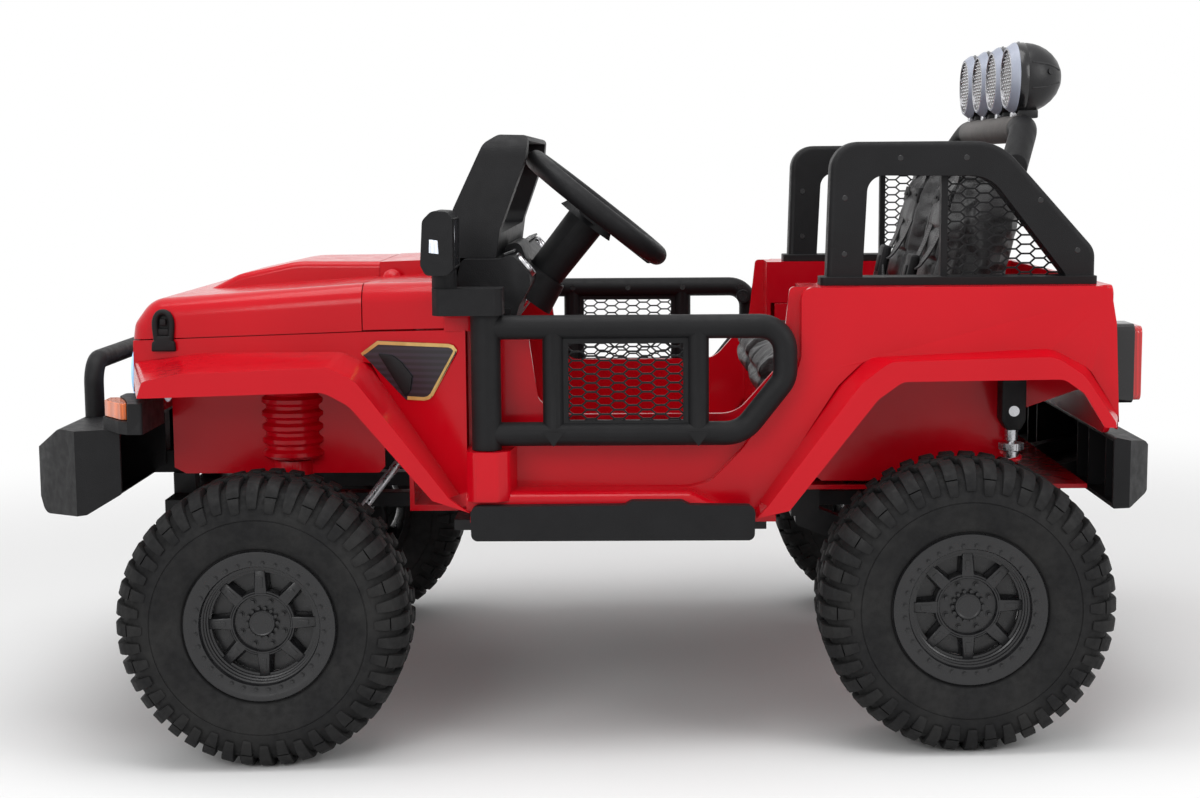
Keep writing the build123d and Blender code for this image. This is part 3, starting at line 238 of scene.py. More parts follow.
def leather():
    paint = Paint("leather", **{"Specular IOR Level": 0.4})
    wrinkle = paint.span(paint.cells(330.0, "DISTANCE_TO_EDGE"), 0.0, 0.12)
    worn = paint.span(paint.speckle(26.0, 4.0), 0.35, 0.7)
    paint.put("Base Color", paint.mix(worn, (0.012, 0.012, 0.013), (0.022, 0.021, 0.022)))
    paint.put("Roughness", paint.span(worn, 0.0, 1.0, 0.36, 0.5))
    paint.bump(wrinkle * 0.7 + paint.speckle(95.0, 4.0) * 0.9, 0.00035)
    return paint.material


def webbing():
    # woven strap: cross ribs along Z with slanted threads over them
    paint = Paint("webbing", **{"Specular IOR Level": 0.2, "Sheen Weight": 0.3})
    x, y, z = paint.axes()
    ribs = (z * 2600.0).wave()
    threads = ((y + z * 0.5) * 3800.0).wave()
    paint.put("Base Color", paint.mix(paint.span(ribs * threads, -1.0, 1.0), (0.010, 0.010, 0.011),
                                      (0.030, 0.030, 0.032)))
    paint.put("Roughness", 0.8)
    paint.bump(ribs * 0.5 + threads * 0.5, 0.00035)
    return paint.material


def brushedMetal(name, shade, rough=0.28):
    paint = Paint(name, shade, rough, Metallic=1.0)
    paint.put("Roughness", paint.span(paint.speckle(180.0, 4.0), 0.3, 0.7, rough - 0.08, rough + 0.1))
    paint.bump(paint.speckle(900.0, 2.0), 0.00004)
    return paint.material


def lensPlastic(name, shade, glow=0.0, rough=0.12):
    # coloured lens with fine upright flutes behind a clear skin
    paint = Paint(name, shade, rough, **{"Coat Weight": 0.6, "Coat Roughness": 0.03})
    x, y, z = paint.axes()
    flutes = ((x + y) * 1400.0).wave()
    paint.put("Base Color", paint.mix(paint.span(flutes, -1.0, 1.0), tuple(v * 0.7 for v in shade), shade))
    if glow:
        paint.put("Emission Color", (*shade, 1))
        paint.put("Emission Strength", glow)
    paint.bump(flutes, 0.0002)
    return paint.material


materials = {
    "red_plastic": redPlastic(),
    "black_plastic": grainedPlastic("blackPlastic", (0.0085, 0.0085, 0.0093), 0.5, 950.0, 0.00016),
    "black_gloss": grainedPlastic("blackGloss", (0.008, 0.008, 0.009), 0.2, 400.0, 0.00002, 0.5),
    "black_steel": grainedPlastic("blackSteel", (0.0105, 0.0105, 0.0115), 0.42, 700.0, 0.00008, 0.25),
    "bare_steel": brushedMetal("bareSteel", (0.55, 0.55, 0.57)),
    "shock_metal": brushedMetal("shockMetal", (0.5, 0.5, 0.52)),
    "battery_case": grainedPlastic("batteryCase", (0.03, 0.03, 0.034), 0.5, 500.0, 0.0001),
    "tyre_rubber": tyrePlastic(),
    "rim_plastic": grainedPlastic("rimPlastic", (0.010, 0.010, 0.011), 0.3, 500.0, 0.00004, 0.45),
    "black_leather": leather(),
    "strap_webbing": webbing(),
    "clear_lens": lensPlastic("clearLens", (0.78, 0.84, 0.95), 0.25),
    "amber_lens": lensPlastic("amberLens", (0.85, 0.16, 0.015)),
    "red_lens": lensPlastic("redLens", (0.55, 0.006, 0.008)),
    "lamp_plastic": grainedPlastic("lampPlastic", (0.0105, 0.0105, 0.0115), 0.36, 700.0, 0.00008, 0.3),
}
print("materials ready")


# Meshes: a bmesh becomes a finished piece that rides on its body

def asPiece(mesh, name, body, slotName, material=None, smooth=35.0, bevel=0.0, replaces=(), place=None):
    if place:
        bmesh.ops.remove_doubles(mesh, verts=mesh.verts, dist=0.01)
        bmesh.ops.transform(mesh, matrix=place, verts=mesh.verts)
        bmesh.ops.recalc_face_normals(mesh, faces=mesh.faces)     # a mirrored place turns the faces round
    data = bpy.data.meshes.new(name)
    mesh.to_mesh(data)
    mesh.free()
    piece = bpy.data.objects.new(name, data)
    bpy.context.scene.collection.objects.link(piece)
    data.materials.append(material or materials[slotName])
    data.shade_smooth()
    data.set_sharp_from_angle(angle=radians(smooth))
    if bevel:
        rounding = piece.modifiers.new("rounding", "BEVEL")
        rounding.width = bevel
        rounding.segments = 2
        rounding.limit_method = "ANGLE"
        rounding.angle_limit = radians(32)
        rounding.harden_normals = True
        rounding.use_clamp_overlap = True
    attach(piece, body)
    if replaces:
        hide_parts(*replaces)
    return piece


def mergedCopy(node):
    mesh = bmesh.new()
    mesh.from_mesh(nodes[node].data)
    bmesh.ops.remove_doubles(mesh, verts=mesh.verts, dist=0.00002)
    bmesh.ops.dissolve_limit(mesh, angle_limit=radians(0.6), verts=mesh.verts, edges=mesh.edges,
                             delimit=set())
    return mesh


def dress(node, bevel):
    # the frame's own form with its corners eased and its curves shaded smooth
    asPiece(mergedCopy(node), node + "_finish", bodyOf[node], slotOf[node], smooth=32, bevel=bevel,
            replaces=[node])


def spun(mesh, points, steps=96, closed=False):
    # radius and height pairs turned about Z
    start = [mesh.verts.new((radius, 0, height)) for radius, height in points]
    edges = [mesh.edges.new(pair) for pair in zip(start, start[1:])]
    if closed:
        edges.append(mesh.edges.new((start[-1], start[0])))
    bmesh.ops.spin(mesh, geom=start + edges, cent=(0, 0, 0), axis=(0, 0, 1), angle=2 * pi, steps=steps,
                   use_merge=True)


def eased(mesh, edges, offset, segments=2):
    bmesh.ops.bevel(mesh, geom=list(edges), offset=offset, affect="EDGES", segments=segments, profile=0.5,
                    material=-1, clamp_overlap=True)


def grownBy(mesh, faces, shift, keep=False):
    # faces pulled out along one direction, with the new points given back
    grown = bmesh.ops.extrude_face_region(mesh, geom=faces, use_keep_orig=keep)["geom"]
    fresh = [item for item in grown if isinstance(item, bmesh.types.BMVert)]
    bmesh.ops.translate(mesh, vec=shift, verts=fresh)
    return fresh


def brick(mesh, size, centre=(0, 0, 0), turn=None, bevel=0.0, segments=2):
    place = Matrix.Translation(centre) @ (turn or Matrix()) @ Matrix.Diagonal((*size, 1))
    made = bmesh.ops.create_cube(mesh, size=1, matrix=place)["verts"]
    if bevel:
        eased(mesh, {edge for vert in made for edge in vert.link_edges}, bevel, segments)


def peg(mesh, start, end, radius, endRadius=None, segments=20):
    # round bar or cone from one point to another
    start, end = Vector(start), Vector(end)
    turn = (end - start).to_track_quat("Z", "Y").to_matrix().to_4x4()
    bmesh.ops.create_cone(mesh, cap_ends=True, segments=segments, radius1=radius,
                          radius2=radius if endRadius is None else endRadius, depth=(end - start).length,
                          matrix=Matrix.Translation((start + end) / 2) @ turn)


def stamp(mesh, pattern, place):
    # one more copy of a small pattern mesh
    before = len(mesh.verts)
    mesh.from_mesh(pattern)
    mesh.verts.ensure_lookup_table()
    bmesh.ops.transform(mesh, matrix=place, verts=mesh.verts[before:])


def onBothSides(mesh, name, slotName, material=None, smooth=35.0, body="root", node=None):
    # the piece drawn for the left side, and its mirror image on the right
    for side, sign in (("left", 1), ("right", -1)):
        asPiece(mesh.copy(), f"{name}_{side}", body, slotName, material, smooth=smooth,
                place=bodyMatrix @ Matrix.Diagonal((1, sign, 1, 1)),
                replaces=[node] if node and sign == 1 else ())
    mesh.free()


def asPattern(mesh, name):
    bmesh.ops.recalc_face_normals(mesh, faces=mesh.faces)
    data = bpy.data.meshes.new(name)
    mesh.to_mesh(data)
    mesh.free()
    return data


edgeOf = {
    "hood": 0.0022, "cowl": 0.0018, "front_fender_left": 0.0022, "front_fender_right": 0.0022,
    "body_side_left": 0.0024, "body_side_right": 0.0024, "rear_panel": 0.0018, "nose_panel": 0.0016,
    "front_bumper": 0.0025, "rear_bumper": 0.0016, "windshield_frame": 0.003, "running_boards": 0.0022,
    "mirrors": 0.0025, "dashboard": 0.002,
}
remade = {"seat_cushions", "seat_backs", "harnesses", "roof_lamps", "vent_panels", "hood_latches",
          "shocks"}
for node in sorted(nodes):
    if node not in remade and not node.startswith(("tyre_", "rim_", "door_mesh", "roll_bar_meshes")):
        dress(node, edgeOf.get(node, 0.0008))
print("frame dressed")


# Wheels, drawn in mm about Z with the outer face upwards

tyreForm = {
    "side": [(86.3, 20), (86.3, 56.3), (93, 56.6), (95.5, 60.5), (100, 63), (109, 66), (119, 68.2),
             (126, 69.1), (129.4, 69.3), (129.9, 68.4), (130.5, 68.4), (131, 69.2), (139, 68.3),
             (147, 65.6), (155, 61),
             (162, 54), (167, 44), (168.5, 30), (168.6, 0)],
    "steps": 132,
    "lugs": 44,
    "longLug": [(175.9, 21), (175.9, 38), (174.6, 47), (170.6, 55), (165, 61.4), (158.6, 65.8), (157, 60),
                (165, 48), (167, 21)],
    "toe": [(157.3, 66.2), (151, 68.7), (142, 69.9), (138.6, 69.6), (139, 66), (150, 62), (157, 57)],
    "shortLug": [(175.9, 21), (175.9, 38), (174.6, 47), (170.6, 55), (164, 62.4), (155, 67.6), (147, 69.6),
                 (143.6, 69.4), (144, 65), (156, 57), (165, 46), (167, 21)],
    "lugWidth": 15.5,
    "toeWidth": 14.0,
}


def lugPattern(outline, width, tipWidth, name, ease=1.0):
    # side outline of a lug, thickened both ways and narrowed towards the rim
    mesh = bmesh.new()
    face = mesh.faces.new([mesh.verts.new((radius, -0.5, height)) for radius, height in outline])
    grownBy(mesh, [face], (0, 1, 0))
    top = max(radius for radius, height in outline)
    low = min(radius for radius, height in outline)
    for vert in mesh.verts:
        share = (vert.co.x - low) / (top - low)
        vert.co.y *= tipWidth + (width - tipWidth) * share ** 0.6
    eased(mesh, mesh.edges, ease)
    return asPattern(mesh, name)


def makeTyreMesh():
    mesh = bmesh.new()
    half = tyreForm["side"]
    other = [(radius, -height) for radius, height in reversed(half[:-1])]
    spun(mesh, half + other, tyreForm["steps"], closed=True)
    wide = tyreForm["lugWidth"]
    upper = lugPattern(tyreForm["longLug"], wide, wide, "upperLug")
    toe = lugPattern(tyreForm["toe"], tyreForm["toeWidth"], 9.5, "toeLug", 0.8)
    short = lugPattern(tyreForm["shortLug"], wide, 10.0, "shortLug")
    block = bmesh.new()
    brick(block, (9, 15, 17), (171.4, 0, 0), bevel=1.2)
    tread = asPattern(block, "treadBlock")
    count = tyreForm["lugs"]
    flip = Matrix.Rotation(pi, 4, "X")
    for i in range(count):
        angle = 2 * pi * i / count
        for side, offset in ((Matrix(), 0), (flip, 0.5)):
            turn = Matrix.Rotation(angle + 2 * pi * offset / count, 4, "Z") @ side
            if i % 2:
                stamp(mesh, short, turn)
            else:
                stamp(mesh, upper, turn)
                stamp(mesh, toe, turn)
        for row, height in ((0.25, 9.6), (0.75, -9.6)):
            skew = Matrix.Rotation(radians(18 if i % 2 else -14), 4, "X")
            stamp(mesh, tread, Matrix.Rotation(angle + 2 * pi * row / count, 4, "Z") @
                  Matrix.Translation((0, 0, height)) @ skew)
    return asPattern(mesh, "tyreForm")


rimForm = {
    "barrel": [(86, 20), (86, 56.9), (91.9, 57.0), (91.9, 59.4), (90.8, 60.9), (88.5, 61.3), (84, 60.6),
               (81.5, 59.6), (75, 59.4), (73, 59.0), (71.8, 56.0), (71.4, 52), (69.4, 51.4), (69, 48),
               (67, 47.4), (66.6, 44),
               (64.8, 43), (64.4, 39.5), (62, 39), (62, 31), (84, -40), (86, -40)],
    "boltRing": 77.2,
    "bolts": 32,
    "back": 26.0,
    "spokeTop": 42.5,
    "spokes": 8,
    "hubRing": 36.5,
    "nutRing": 27.6,
    "capRadius": 16.2,
    "capTop": 43.4,
    "scallops": 14,              # round the cap
}


def makeRimMesh():
    mesh = bmesh.new()
    form = rimForm
    spun(mesh, form["barrel"], 112, closed=True)
    spun(mesh, [(0, form["back"]), (63, form["back"]), (63, form["back"] - 3), (0, form["back"] - 3)], 72)
    hub = form["hubRing"]
    top = form["spokeTop"]
    spun(mesh, [(0, 24), (hub + 2, 24), (hub + 1.4, top - 1), (hub, top + 0.4), (hub - 1.6, top + 0.6),
                (hub - 2.4, top - 0.6), (hub - 3.0, 37.2), (0, 36.6)], 72)
    spoke = bmesh.new()
    outline = [(34, 7.4), (50, 6.6), (66, 5.8), (66, -5.8), (50, -6.6), (34, -7.4)]
    face = spoke.faces.new([spoke.verts.new((x, y, top)) for x, y in outline])
    grownBy(spoke, [face], (0, 0, -15))
    for vert in spoke.verts:
        if vert.co.z > top - 1:
            vert.co.z -= max(0, vert.co.x - 52) * 0.13
        else:
            vert.co.y *= 1.5
    eased(spoke, spoke.edges, 1.3)
    brick(spoke, (13, 6.4, 1.2), (50, 0, top + 0.1), bevel=0.5)
    spokeForm = asPattern(spoke, "spoke")
    web = bmesh.new()        # rounded corners between spokes at the hub
    spun(web, [(hub, 28), (hub + 4.2, 28), (hub + 3.6, 40.6), (hub + 2.6, 41.6), (hub, 41.8)], 72)
    stamp(mesh, asPattern(web, "hubCollar"), Matrix())
    bolt = bmesh.new()
    peg(bolt, (0, 0, 0), (0, 0, 1.0), 2.9, 2.6, 16)
    peg(bolt, (0, 0, 0.8), (0, 0, 2.3), 1.9, 1.7, 6)
    boltForm = asPattern(bolt, "ringBolt")
    for i in range(form["bolts"]):
        turn = Matrix.Rotation(2 * pi * (i + 0.5) / form["bolts"], 4, "Z")
        stamp(mesh, boltForm, turn @ Matrix.Translation((form["boltRing"], 0, 59.2)))
    nut = bmesh.new()
    peg(nut, (0, 0, 35), (0, 0, 38.4), 4.2, 4.0, 18)
    peg(nut, (0, 0, 38), (0, 0, 42), 3.0, 2.6, 6)
    nutForm = asPattern(nut, "hubNut")
    for i in range(form["spokes"]):
        stamp(mesh, spokeForm, Matrix.Rotation(2 * pi * i / form["spokes"], 4, "Z"))
        stamp(mesh, nutForm, Matrix.Rotation(2 * pi * (i + 0.5) / form["spokes"], 4, "Z") @
              Matrix.Translation((form["nutRing"], 0, 0)))
    cap, capTop = form["capRadius"], form["capTop"]
    spun(mesh, [(0, 34), (cap, 34), (cap, capTop - 1.6), (cap - 1.2, capTop - 0.2), (cap - 2.6, capTop - 0.4),
                (cap - 3.4, capTop - 1.0), (0, capTop - 1.0)], 48)
    for i in range(form["scallops"]):
        angle = 2 * pi * i / form["scallops"]
        x, y = 18.2 * cos(angle), 18.2 * sin(angle)
        peg(mesh, (x, y, 35), (x, y, 41.6), 2.5, 2.1, 12)
    spun(mesh, [(0, -8), (30, -8), (30, 24), (62, 24), (62, 20), (34, 20), (34, -12), (0, -12)], 48)
    return asPattern(mesh, "rimForm")


def placeWheels():
    tyreMesh = makeTyreMesh()
    rimMesh = makeRimMesh()
    for end in ("front", "rear"):
        for side, sign in (("left", 1), ("right", -1)):
            centre = nodeCentre(f"tyre_{end}_{side}")
            place = Matrix.Translation(centre) @ Matrix.Rotation(-sign * pi / 2, 4, "X") @ \
                Matrix.Scale(0.001, 4)
            body = f"wheel_{end}_{side}"
            for form, node, slotName, angle in ((tyreMesh, f"tyre_{end}_{side}", "tyre_rubber", 38),
                                                (rimMesh, f"rim_{end}_{side}", "rim_plastic", 34)):
                mesh = bmesh.new()
                mesh.from_mesh(form)
                asPiece(mesh, node + "_detail", body, slotName, smooth=angle, replaces=[node], place=place)


placeWheels()
print("wheels made")


# Helpers in the level body's millimetres

def levelBox(node):
    inverse = bodyMatrix.inverted()
    points = [inverse @ vert.co for vert in nodes[node].data.vertices]
    return [Vector(pick(point[i] for point in points) for i in range(3)) for pick in (min, max)]


def skinOf(names):
    # what a ray hits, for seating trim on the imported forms
    mesh = bmesh.new()
    for name in names:
        mesh.from_mesh(nodes[name].data)
    mesh.transform(bodyMatrix.inverted())
    tree = BVHTree.FromBMesh(mesh)
    mesh.free()
    return tree


def sideDepth(tree, x, z):
    return tree.ray_cast(Vector((x, 700, z)), Vector((0, -1, 0)))[0].y


def slab(mesh, outline, low, high, ease=0.0, segments=2):
    # outline in X and Z, as a block between two depths along Y
    start = [mesh.verts.new((x, low, z)) for x, z in outline]
    fresh = grownBy(mesh, [mesh.faces.new(start)], (0, high - low, 0), keep=True)
    if ease:
        eased(mesh, {edge for vert in start + fresh for edge in vert.link_edges}, ease, segments)


def pipe(mesh, points, radius, cyclic=False, segments=3, tight=False):
    # round bar along a smooth line of points
    curve = bpy.data.curves.new("route", "CURVE")
    curve.dimensions = "3D"
    curve.bevel_depth = radius
    curve.bevel_resolution = segments
    curve.use_fill_caps = not cyclic
    line = curve.splines.new("POLY" if tight else "NURBS")
    line.points.add(len(points) - 1)
    for point, place in zip(line.points, points):
        point.co = (*place, 1)
    line.order_u = 3
    line.use_endpoint_u = True
    line.use_cyclic_u = cyclic
    line.resolution_u = 5
    holder = bpy.data.objects.new("route", curve)
    made = bpy.data.meshes.new_from_object(holder)
    mesh.from_mesh(made)
    bpy.data.objects.remove(holder)
    bpy.data.curves.remove(curve)
    bpy.data.meshes.remove(made)


# Honeycomb panels of the doors and roll bars

netForm = {
    "door": {"columns": 8, "rise": 10.85, "strand": 2.3, "depth": 369.0, "thick": 2.6,
             "outline": [(-85.5, 404.7), (53.8, 404.7), (53.8, 499.3), (-85.5, 499.3)]},
    "rollBar": {"pitch": 17.2, "rise": 11.4, "strand": 2.4, "depth": 291.0, "thick": 2.8},
}


def makeNet(mesh, outline, form, pitch):
    # stretched hexagons cut to a convex outline in X and Z
    net = bmesh.new()
    half = pitch * 2 / 3
    rise, depth = form["rise"], form["depth"]
    xs, zs = [x for x, z in outline], [z for x, z in outline]
    corners = [(half, 0), (half / 2, rise / 2), (-half / 2, rise / 2), (-half, 0), (-half / 2, -rise / 2),
               (half / 2, -rise / 2)]
    for i in range(-1, int((max(xs) - min(xs)) / pitch) + 3):
        for j in range(-1, int((max(zs) - min(zs)) / rise) + 3):
            x = max(xs) - half - i * pitch
            z = max(zs) - (j + 0.5 + (i % 2) / 2) * rise
            net.faces.new([net.verts.new((x + u, depth, z + v)) for u, v in corners])
    bmesh.ops.remove_doubles(net, verts=net.verts, dist=0.1)
    cells = net.faces[:]
    bmesh.ops.inset_individual(net, faces=cells, thickness=form["strand"] / 2)
    bmesh.ops.delete(net, geom=cells, context="FACES")
    middle = Vector((sum(xs) / len(xs), depth, sum(zs) / len(zs)))
    for (x0, z0), (x1, z1) in zip(outline, outline[1:] + outline[:1]):
        corner = Vector((x0, depth, z0))
        outward = Vector((z1 - z0, 0, x0 - x1))
        if outward.dot(middle - corner) > 0:
            outward = -outward
        bmesh.ops.bisect_plane(net, geom=net.verts[:] + net.edges[:] + net.faces[:], plane_co=corner,
                               plane_no=outward, clear_outer=True)
    grownBy(net, net.faces[:], (0, form["thick"], 0), keep=True)
    bmesh.ops.translate(net, vec=(0, -form["thick"] / 2, 0), verts=net.verts)
    stamp(mesh, asPattern(net, "net"), Matrix())


def arc(middle, radius, start, end, steps=6):
    # points on a round stretch, angles in degrees
    turns = [radians(start + (end - start) * i / steps) for i in range(steps + 1)]
    return [(middle[0] + radius * cos(turn), middle[1] + radius * sin(turn)) for turn in turns]


def makeNets():
    form = netForm["door"]
    width = form["outline"][1][0] - form["outline"][0][0]
    for side, sign in (("left", 1), ("right", -1)):
        mesh = bmesh.new()
        makeNet(mesh, form["outline"], form, width / (form["columns"] + 1 / 3))
        asPiece(mesh, f"door_net_{side}", f"door_{side[0]}", "black_plastic", smooth=25,
                replaces=[f"door_mesh_{side}"], place=bodyMatrix @ Matrix.Diagonal((1, sign, 1, 1)))
    low, high = levelBox("roll_bar_meshes")
    corner = arc((-435.6, 649.5), 46, 90, 142)
    outline = [(high.x + 0.8, 695.5)] + corner + [(low.x - 1.2, low.z + 12), (low.x - 1.2, low.z - 0.4),
                                                  (high.x + 0.8, low.z - 0.4)]
    for sign, side in ((1, "left"), (-1, "right")):
        mesh = bmesh.new()
        makeNet(mesh, outline, netForm["rollBar"], netForm["rollBar"]["pitch"])
        y = netForm["rollBar"]["depth"]
        pipe(mesh, [(x, y, z) for x, z in outline], 2.2, cyclic=True, tight=True, segments=1)
        asPiece(mesh, f"roll_bar_net_{side}", bodyOf["roll_bar_meshes"], "black_plastic", smooth=25,
                replaces=["roll_bar_meshes"] if side == "left" else (),
                place=bodyMatrix @ Matrix.Diagonal((1, sign, 1, 1)))


makeNets()
print("nets made")


# Roof lamps: drawn in mm about Z with the face upwards, then turned to face forward

lampForm = {
    "face": -505.0,
    "height": 817.0,
    "pitch": 104.0,
    "dotPitch": 8.6,
    "dotReach": 32.0,
    "sleeveReach": 178,
    "dome": [(44.3, -21.8), (44.3, -25.5), (43.2, -33), (40.6, -41), (36.4, -49), (30.4, -56.5),
             (22.5, -63.2), (12.6, -68), (0, -70)],
    "band": [(0, -10.6), (44.6, -10.6), (44.9, -11.4), (44.9, -20.8), (44.4, -21.6), (0, -21.6)],
    "ring": [(36.9, -3), (36.9, -0.6), (37.4, 0), (38.6, -0.2), (44.2, -7.6), (45, -9.4), (44.8, -10.6),
             (36.9, -10.6)],
    "line": [(35.3, -3), (35.3, -0.2), (35.8, 0.3), (36.4, 0.3), (36.9, -0.2), (36.9, -3)],
    "faceDisc": [(0, -2.0), (35.4, -2.0), (35.4, -6), (0, -6)],
}


def lampGrey():
    paint = Paint("lampGrey", (0.30, 0.325, 0.40), 0.38)
    tone = paint.span(paint.speckle(40.0, 3.0), 0.3, 0.7)
    paint.put("Base Color", paint.mix(tone, (0.27, 0.295, 0.365), (0.33, 0.355, 0.43)))
    paint.bump(paint.speckle(500.0, 2.0), 0.00005)
    return paint.material


def sleeveGrey():
    paint = Paint("sleeveGrey", (0.08, 0.072, 0.068), 0.6)
    tone = paint.span(paint.speckle(30.0, 4.0), 0.3, 0.7)
    paint.put("Base Color", paint.mix(tone, (0.062, 0.056, 0.053), (0.098, 0.088, 0.083)))
    paint.bump(paint.cells(800.0) + paint.speckle(90.0, 3.0), 0.0002)
    return paint.material


def makeLamps():
    form = lampForm
    ahead = Matrix.Rotation(pi / 2, 4, "Y")
    parts = {name: bmesh.new() for name in ("dome", "band", "ring", "line", "face", "dots", "brackets",
                                            "saddles")}
    dome = bmesh.new()
    spun(dome, form["dome"], 72)
    for lift in (-19, 24):           # moulded ridges on both cheeks
        for turn in (0, 180):
            angle = radians(turn + (lift if turn == 0 else -lift)) + pi / 2
            route = [(r * 0.985 * cos(angle), r * 0.985 * sin(angle), z) for r, z in form["dome"][1:7]]
            pipe(dome, route, 1.5)
    for turn in (100, 260):          # screw wells
        x, y = cos(radians(turn)), sin(radians(turn))
        peg(dome, (30 * x, 30 * y, -46), (37.9 * x, 37.9 * y, -50), 4.4, 4.0, 18)
    domePattern = asPattern(dome, "dome")
    disc = bmesh.new()
    spun(disc, form["faceDisc"], 64)
    discPattern = asPattern(disc, "disc")
    dot = bmesh.new()
    peg(dot, (0, 0, -2.2), (0, 0, -0.9), 1.5, 0.9, 8)
    dotPattern = asPattern(dot, "dot")
    step = form["dotPitch"]
    for i in range(4):
        place = Matrix.Translation((form["face"], (i - 1.5) * form["pitch"], form["height"])) @ ahead
        stamp(parts["dome"], domePattern, place)
        stamp(parts["face"], discPattern, place)
        for name in ("band", "ring", "line"):
            piece = bmesh.new()
            spun(piece, form[name], 80, closed=name != "band")
            stamp(parts[name], asPattern(piece, name), place)
        for row in range(-5, 6):
            for column in range(-5, 6):
                u = (column + (row % 2) / 2) * step
                v = row * step * 0.866
                if u * u + v * v < form["dotReach"] ** 2:
                    stamp(parts["dots"], dotPattern, place @ Matrix.Translation((u, v, 0)))
        y = (i - 1.5) * form["pitch"]
        brick(parts["brackets"], (4.5, 12, 12), (-514.5, y, 768), bevel=0.8)
        peg(parts["brackets"], (-515, y + 5, 770), (-515, y + 11, 770), 2.6)
        peg(parts["brackets"], (-519, y + 6, 856), (-519, y + 8, 862.6), 1.9, 1.5)
        brick(parts["saddles"], (26, 34, 11), (-531, y, 771), bevel=2.0)
    finish = {"dome": ("lamp_plastic", None), "band": ("black_gloss", None),
              "ring": ("lamp_plastic", lampGrey()), "line": ("shock_metal", None),
              "face": ("black_gloss", None), "dots": ("shock_metal", None),
              "brackets": ("shock_metal", None), "saddles": ("lamp_plastic", None)}
    for name, (slotName, material) in finish.items():
        asPiece(parts[name], f"roof_lamp_{name}", "root", slotName, material, smooth=40, place=bodyMatrix,
                replaces=["roof_lamps"] if name == "dome" else ())
    sleeve = bmesh.new()
    bar = levelBox("light_bar")
    reach, inner, outer = form["sleeveReach"], 17.05, 17.7
    spun(sleeve, [(inner, -reach), (outer, 1.2 - reach), (outer, reach - 1.2), (inner, reach)], 64)
    turn = Matrix.Translation((-520, 0, bar[1].z - 17)) @ Matrix.Rotation(-pi / 2, 4, "X")
    asPiece(sleeve, "light_bar_sleeve", "root", "black_steel", sleeveGrey(), place=bodyMatrix @ turn)


makeLamps()
print("roof lamps made")


# Seats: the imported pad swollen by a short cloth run, then seamed and stitched

seatForm = {
    "voxel": 0.005,
    "shrink": 0.0035,
    "cap": 0.011,
    "pressure": 4.0,
    "frames": 20,
    "panelHalf": 64.0,
    "grooveWidth": 4.2,
    "grooveDepth": 4.0,
    "welt": 16.0,                # seam on the cheeks, behind the front face
    "backChannels": (545, 585, 625, 665),
    "cushionChannels": (-235, -275, -315, -355),
    "stitch": 6.4,
}


def innerEdge(node):
    inverse = bodyMatrix.inverted()
    return min(point.y for point in (inverse @ vert.co for vert in nodes[node].data.vertices) if point.y > 0)


def bakedMesh(holder):
    graph = bpy.context.evaluated_depsgraph_get()
    return bpy.data.meshes.new_from_object(holder.evaluated_get(graph))


def swollenPad(node):
    form = seatForm
    start = bmesh.new()
    start.from_mesh(nodes[node].data)
    bmesh.ops.remove_doubles(start, verts=start.verts, dist=0.00002)
    bmesh.ops.delete(start, geom=[vert for vert in start.verts if vert.co.y < 0], context="VERTS")
    data = bpy.data.meshes.new("padStart")
    start.to_mesh(data)
    start.free()
    holder = bpy.data.objects.new("padStart", data)
    bpy.context.scene.collection.objects.link(holder)
    even = holder.modifiers.new("even", "REMESH")
    even.mode = "VOXEL"
    even.voxel_size = form["voxel"]
    holder.data = bakedMesh(holder)
    holder.modifiers.clear()
    shape = bmesh.new()
    shape.from_mesh(holder.data)
    bmesh.ops.smooth_vert(shape, verts=shape.verts, factor=0.5, use_axis_x=True, use_axis_y=True,
                          use_axis_z=True)
    shape.normal_update()
    for vert in shape.verts:
        vert.co -= vert.normal * form["shrink"]
    shape.to_mesh(holder.data)
    shape.free()
    rest = [vert.co.copy() for vert in holder.data.vertices]
    low = min(point.z for point in rest)
    held = holder.vertex_groups.new(name="held")
    held.add([i for i, point in enumerate(rest) if point.z < low + 0.008], 1.0, "REPLACE")
    cloth = holder.modifiers.new("swell", "CLOTH")
    cloth.settings.use_pressure = True
    cloth.settings.uniform_pressure_force = form["pressure"]
    cloth.settings.effector_weights.gravity = 0
    cloth.settings.vertex_group_mass = "held"
    cloth.point_cache.frame_start = 1
    cloth.point_cache.frame_end = form["frames"]
    for step in range(1, form["frames"] + 1):
        bpy.context.scene.frame_set(step)
    swollen = bakedMesh(holder)
    moved = [vert.co.copy() for vert in swollen.vertices]
    bpy.context.scene.frame_set(1)
    holder.modifiers.clear()
    for vert, here, there in zip(holder.data.vertices, rest, moved):
        step = there - here
        vert.co = here + step * min(1, form["cap"] / max(step.length, 1e-9))
    finer = holder.modifiers.new("finer", "SUBSURF")
    finer.levels = finer.render_levels = 1
    data = bakedMesh(holder)
    bpy.data.objects.remove(holder)
    pad = bmesh.new()
    pad.from_mesh(data)
    pad.transform(bodyMatrix.inverted())
    pad.normal_update()
    return pad


def press(pad, distances):
    # sewn lines drawn in: each distance function says how far a point is from its seam
    width, depth = seatForm["grooveWidth"], seatForm["grooveDepth"]
    for vert in pad.verts:
        near = min(distance(vert.co) for distance in distances)
        if near < 3 * width:
            vert.co -= vert.normal * depth * 2.718 ** -((near / width) ** 2)


